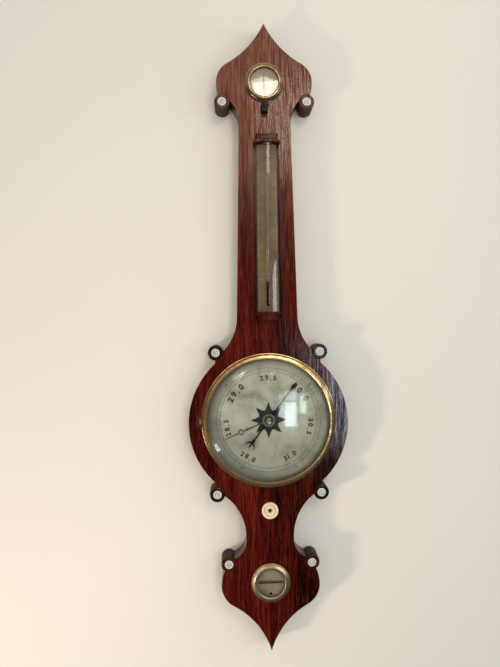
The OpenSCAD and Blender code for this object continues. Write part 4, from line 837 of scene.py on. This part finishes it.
def pearlDiscs():
    m = pearlDisc
    inner, outer = m["ring"]
    edge = m["radius"]
    profile = [  # radius, and 1 where the shell is cut away
        (m["dot"], 1), (m["dot"] * 1.25, 0), (inner * 0.94, 0), (inner, 1), (outer, 1), (outer * 1.06, 0),
        (edge * 0.8, 0), (edge * 0.95, 0)]
    bm = bmesh.new()
    cutLayer = bm.verts.layers.float.new("engraved")

    def ringOf(radius, out, cut):
        ring = []
        for i in range(m["segments"]):
            a = 2 * math.pi * i / m["segments"]
            vert = bm.verts.new((radius * math.sin(a), -out, radius * math.cos(a)))
            vert[cutLayer] = cut
            ring.append(vert)
        return ring

    def swell(radius):
        return m["thick"] + m["dome"] * (1 - (radius / edge) ** 2)

    tip = bm.verts.new((0, -swell(0) + m["depth"], 0))
    tip[cutLayer] = 1
    rings = [ringOf(radius, swell(radius) - cut * m["depth"], cut) for radius, cut in profile]
    rings.append(ringOf(edge, m["thick"] * 0.85, 0))
    rings.append(ringOf(edge, 0, 0))
    for i in range(m["segments"]):
        j = (i + 1) % m["segments"]
        bm.faces.new((tip, rings[0][i], rings[0][j]))
        for a, b in zip(rings, rings[1:]):
            bm.faces.new((a[i], b[i], b[j], a[j]))
    bm.faces.new(rings[-1])
    bmesh.ops.recalc_face_normals(bm, faces=bm.faces)
    mesh = bpy.data.meshes.new("pearlDisc")
    bm.to_mesh(mesh)
    bm.free()
    for face in mesh.polygons:
        face.use_smooth = True
    disc = bpy.data.objects.new("pearlDiscShape", mesh)
    scene.collection.objects.link(disc)
    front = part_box("pearl_discs")[1].y
    points = bpy.data.meshes.new("pearlPlaces")
    points.from_pydata([(s * x, front, z) for x, z in rollCentres for s in (-1, 1)], [], [])
    tree, t = newTree("pearlSet", {
        "Points": "Geometry", "Disc": "Object", "Turn": "Float", "Seed": "Int", "Look": "Material"})
    start = Wire(tree)
    shape = start.node("GeometryNodeObjectInfo", None, {"Object": t["Disc"]}, out="Geometry")
    turn = start.node(
        "FunctionNodeRandomValue", {"data_type": "FLOAT"}, {2: 0.0, 3: t["Turn"], "Seed": t["Seed"]}, out=1)
    spin = start.node("FunctionNodeEulerToRotation", None, {0: start.xyz(0.0, turn, 0.0)})
    discs = start.node(
        "GeometryNodeInstanceOnPoints", None, {"Points": t["Points"], "Instance": shape, "Rotation": spin})
    endTree(tree, discs, t["Look"])
    made = grow("pearlDiscs", tree, {"Disc": disc, "Turn": m["turn"], "Seed": m["seed"], "Look": pearl}, points)
    bpy.data.objects.remove(disc)
    placePiece(made, "case")
    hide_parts("pearl_discs")


pearlDiscs()
print("pearl discs set")


# stage: a cream wall that is clear from behind, and a pale floor well below
stageSizes = {"behind": 0.0008, "half": 3.0, "floor": -1.7, "top": 2.2, "deep": 3.5,
              "wall": tone(237, 229, 217), "wallPaintedShade": tone(222, 215, 206), "floorTone": tone(226, 218, 206)}


def stageSheet(name, corners, look):
    mesh = bpy.data.meshes.new(name)
    mesh.from_pydata(corners, [], [(0, 1, 2, 3)])
    mesh.materials.append(look)
    made = bpy.data.objects.new(name, mesh)
    scene.collection.objects.link(made)
    return made


def stageLook(name, colour, shade, clearBehind):
    made = bpy.data.materials.new(name)
    start = emptyTree(made)
    place = start.node("ShaderNodeTexCoord", out="Object")
    plaster = place.noise(90, 4, 0.6)
    cloud = place.noise(1.6, 3)
    pale = cloud.ramp((0.3, colour), (0.7, tuple(min(1, c * 1.04) for c in colour[:3]) + (1.0,)))
    x, y, z = place.split()
    # painted shade: the wall darker towards the lower right
    pale = pale.towards(shade, (x - z * 0.35).rise(-0.05, 0.75))
    sheet = start.node("ShaderNodeBsdfPrincipled", None, {
        "Base Color": pale, "Roughness": 0.9, "Specular IOR Level": 0.1, "Normal": plaster.bump(0.1, 0.0005)})
    if clearBehind:
        behind = start.node("ShaderNodeNewGeometry", out="Backfacing")
        shadow = start.node("ShaderNodeLightPath", out="Is Shadow Ray")
        clear = start.node("ShaderNodeBsdfTransparent")
        unseen = behind.math("MAXIMUM", behind, shadow)
        sheet = start.node("ShaderNodeMixShader", None, {0: unseen, 1: sheet, 2: clear})
    start.node("ShaderNodeOutputMaterial", None, {"Surface": sheet})
    return made


def buildStage():
    s = stageSizes
    y, h, low, top = s["behind"], s["half"], s["floor"], s["top"]
    stageSheet("wall", [(-h, y, low), (h, y, low), (h, y, top), (-h, y, top)],
               stageLook("wallPlaster", s["wall"], s["wallPaintedShade"], clearBehind=True))
    floor = stageSheet("floor", [(-h, -s["deep"], low), (h, -s["deep"], low), (h, y, low), (-h, y, low)],
                       stageLook("paleFloor", s["floorTone"], s["floorTone"], clearBehind=False))
    floor.visible_glossy = False


buildStage()

# light: window panes and a side panel to the right, a broad lamp in front and above, a warm one low on the left,
# and small ones that only glint in the domed glass
lamps = {
    "paneA": {"at": (0.449, -2.4, -0.636), "size": (0.12, 0.496), "radiance": 3.7, "tint": (0.66, 0.9, 1.0)},
    "paneB": {"at": (0.679, -2.4, -0.444), "size": (0.292, 0.227), "radiance": 4.8, "tint": (0.72, 0.94, 1.0)},
    "paneC": {"at": (0.679, -2.4, -0.868), "size": (0.292, 0.583), "radiance": 10.2, "tint": (0.75, 0.94, 1.0)},
    "paneD": {"at": (1.0, -2.4, -0.641), "size": (0.159, 0.436), "radiance": 7.2, "tint": (0.72, 0.95, 1.0)},
    "side": {"at": (1.6, -0.95, -0.23), "aim": (0, -0.95, -0.23), "size": (1.6, 0.24), "radiance": 6.0,
             "tint": (0.94, 0.98, 1.0)},
    "front": {"at": (0.45, -1.63, 0.54), "aim": (0.1, 0, -0.2), "size": (0.75, 0.42), "radiance": 6.7,
              "tint": (1.0, 0.8, 0.6)},
    "left": {"at": (-1.64, -0.84, -1.35), "aim": (0, 0, -0.8), "size": (0.2, 0.2), "spread": 80,
             "radiance": 26.5, "tint": (1.0, 0.79, 0.57)},
    "glintHigh": {"at": (-0.343, -1.83, -0.042), "aim": (0, 0, -0.5), "size": (0.1, 0.035), "roll": 35,
                  "radiance": 12.0, "tint": (1.0, 1.0, 1.0)},
    "hazeHigh": {"at": (-0.436, -1.83, -0.105), "aim": (0, 0, -0.5), "size": (0.15, 0.08), "roll": 35,
                 "radiance": 4.0, "tint": (0.85, 0.95, 1.0)},
    "spark": {"at": (0.222, -1.83, -0.045), "aim": (0, 0, -0.5), "size": (0.07, 0.02), "radiance": 8.0,
              "tint": (1.0, 0.98, 0.95)},
    "warmLeft": {"at": (-0.714, -1.83, -0.683), "aim": (0, 0, -0.55), "size": (0.03, 0.06), "radiance": 6.0,
                 "tint": (1.0, 0.88, 0.66)},
    "glintLow": {"at": (-0.482, -0.93, -1.041), "aim": (0, 0, -0.62), "size": (0.035, 0.085), "roll": 30,
                 "radiance": 12.0, "tint": (1.0, 0.98, 0.95)},
}


def aimed(at, aim):
    return (Vector(aim) - Vector(at)).to_track_quat("-Z", "Y").to_matrix().to_4x4()


def hangLamps():
    for name, lamp in lamps.items():
        data = bpy.data.lights.new(name, "AREA")
        data.shape = "RECTANGLE"
        data.size, data.size_y = lamp["size"]
        data.energy = lamp["radiance"] * math.pi * data.size * data.size_y
        data.color = lamp["tint"]
        data.spread = math.radians(lamp.get("spread", 180))
        made = bpy.data.objects.new(name, data)
        x, y, z = lamp["at"]
        roll = Matrix.Rotation(math.radians(lamp.get("roll", 0)), 4, "Z")
        made.matrix_world = Matrix.Translation((x, y, z)) @ aimed((x, y, z), lamp.get("aim", (x, 0, z))) @ roll
        scene.collection.objects.link(made)


# room light: an even soft fill; gloss and glass mirror a room that is dim below and pale above
room = {"fill": (0.512, 0.552, 0.6, 1.0), "seen": tone(236, 229, 218), "gain": 2.4,
        "mirrored": ((0.36, (0.006, 0.005, 0.004, 1.0)), (0.5, (0.024, 0.016, 0.009, 1.0)),
                     (0.6, (0.115, 0.075, 0.038, 1.0)), (0.68, (0.55, 0.43, 0.33, 1.0)),
                     (0.75, (0.95, 0.75, 0.57, 1.0)), (0.95, (0.9, 0.74, 0.58, 1.0)))}


def lightRoom():
    world = bpy.data.worlds.new("room")
    scene.world = world
    start = emptyTree(world)
    height = start.node("ShaderNodeTexCoord", out="Generated").split()[2] * 0.5 + 0.5
    glossy = start.node("ShaderNodeLightPath", out="Is Glossy Ray")
    camera = start.node("ShaderNodeLightPath", out="Is Camera Ray")
    through = start.node("ShaderNodeLightPath", out="Is Transmission Ray")
    mirrored = height.ramp(*room["mirrored"]).stretch(room["gain"], room["gain"], room["gain"])
    glow = mirrored.towards(room["fill"], 1 - glossy)
    glow = glow.towards(room["seen"], camera.math("MAXIMUM", camera, through))
    light = start.node("ShaderNodeBackground", None, {"Color": glow})
    start.node("ShaderNodeOutputWorld", None, {"Surface": light})


hangLamps()
lightRoom()

# camera: level with the upper drum, close, turned a little to the right
shot = {"at": (-0.059, -0.833, -0.435), "turn": -2.22, "tilt": -0.46, "roll": -0.8, "lens": 27.15, "film": 36}


def placeCamera():
    data = bpy.data.cameras.new("camera")
    data.lens = shot["lens"]
    data.sensor_width = shot["film"]
    made = bpy.data.objects.new("camera", data)
    turn = Matrix.Rotation(math.radians(shot["turn"]), 4, "Z")
    tilt = Matrix.Rotation(math.radians(90 + shot["tilt"]), 4, "X")
    roll = Matrix.Rotation(math.radians(shot["roll"]), 4, "Z")
    made.matrix_world = Matrix.Translation(shot["at"]) @ turn @ tilt @ roll
    scene.collection.objects.link(made)
    scene.camera = made


placeCamera()
print("stage, lamps and camera set")
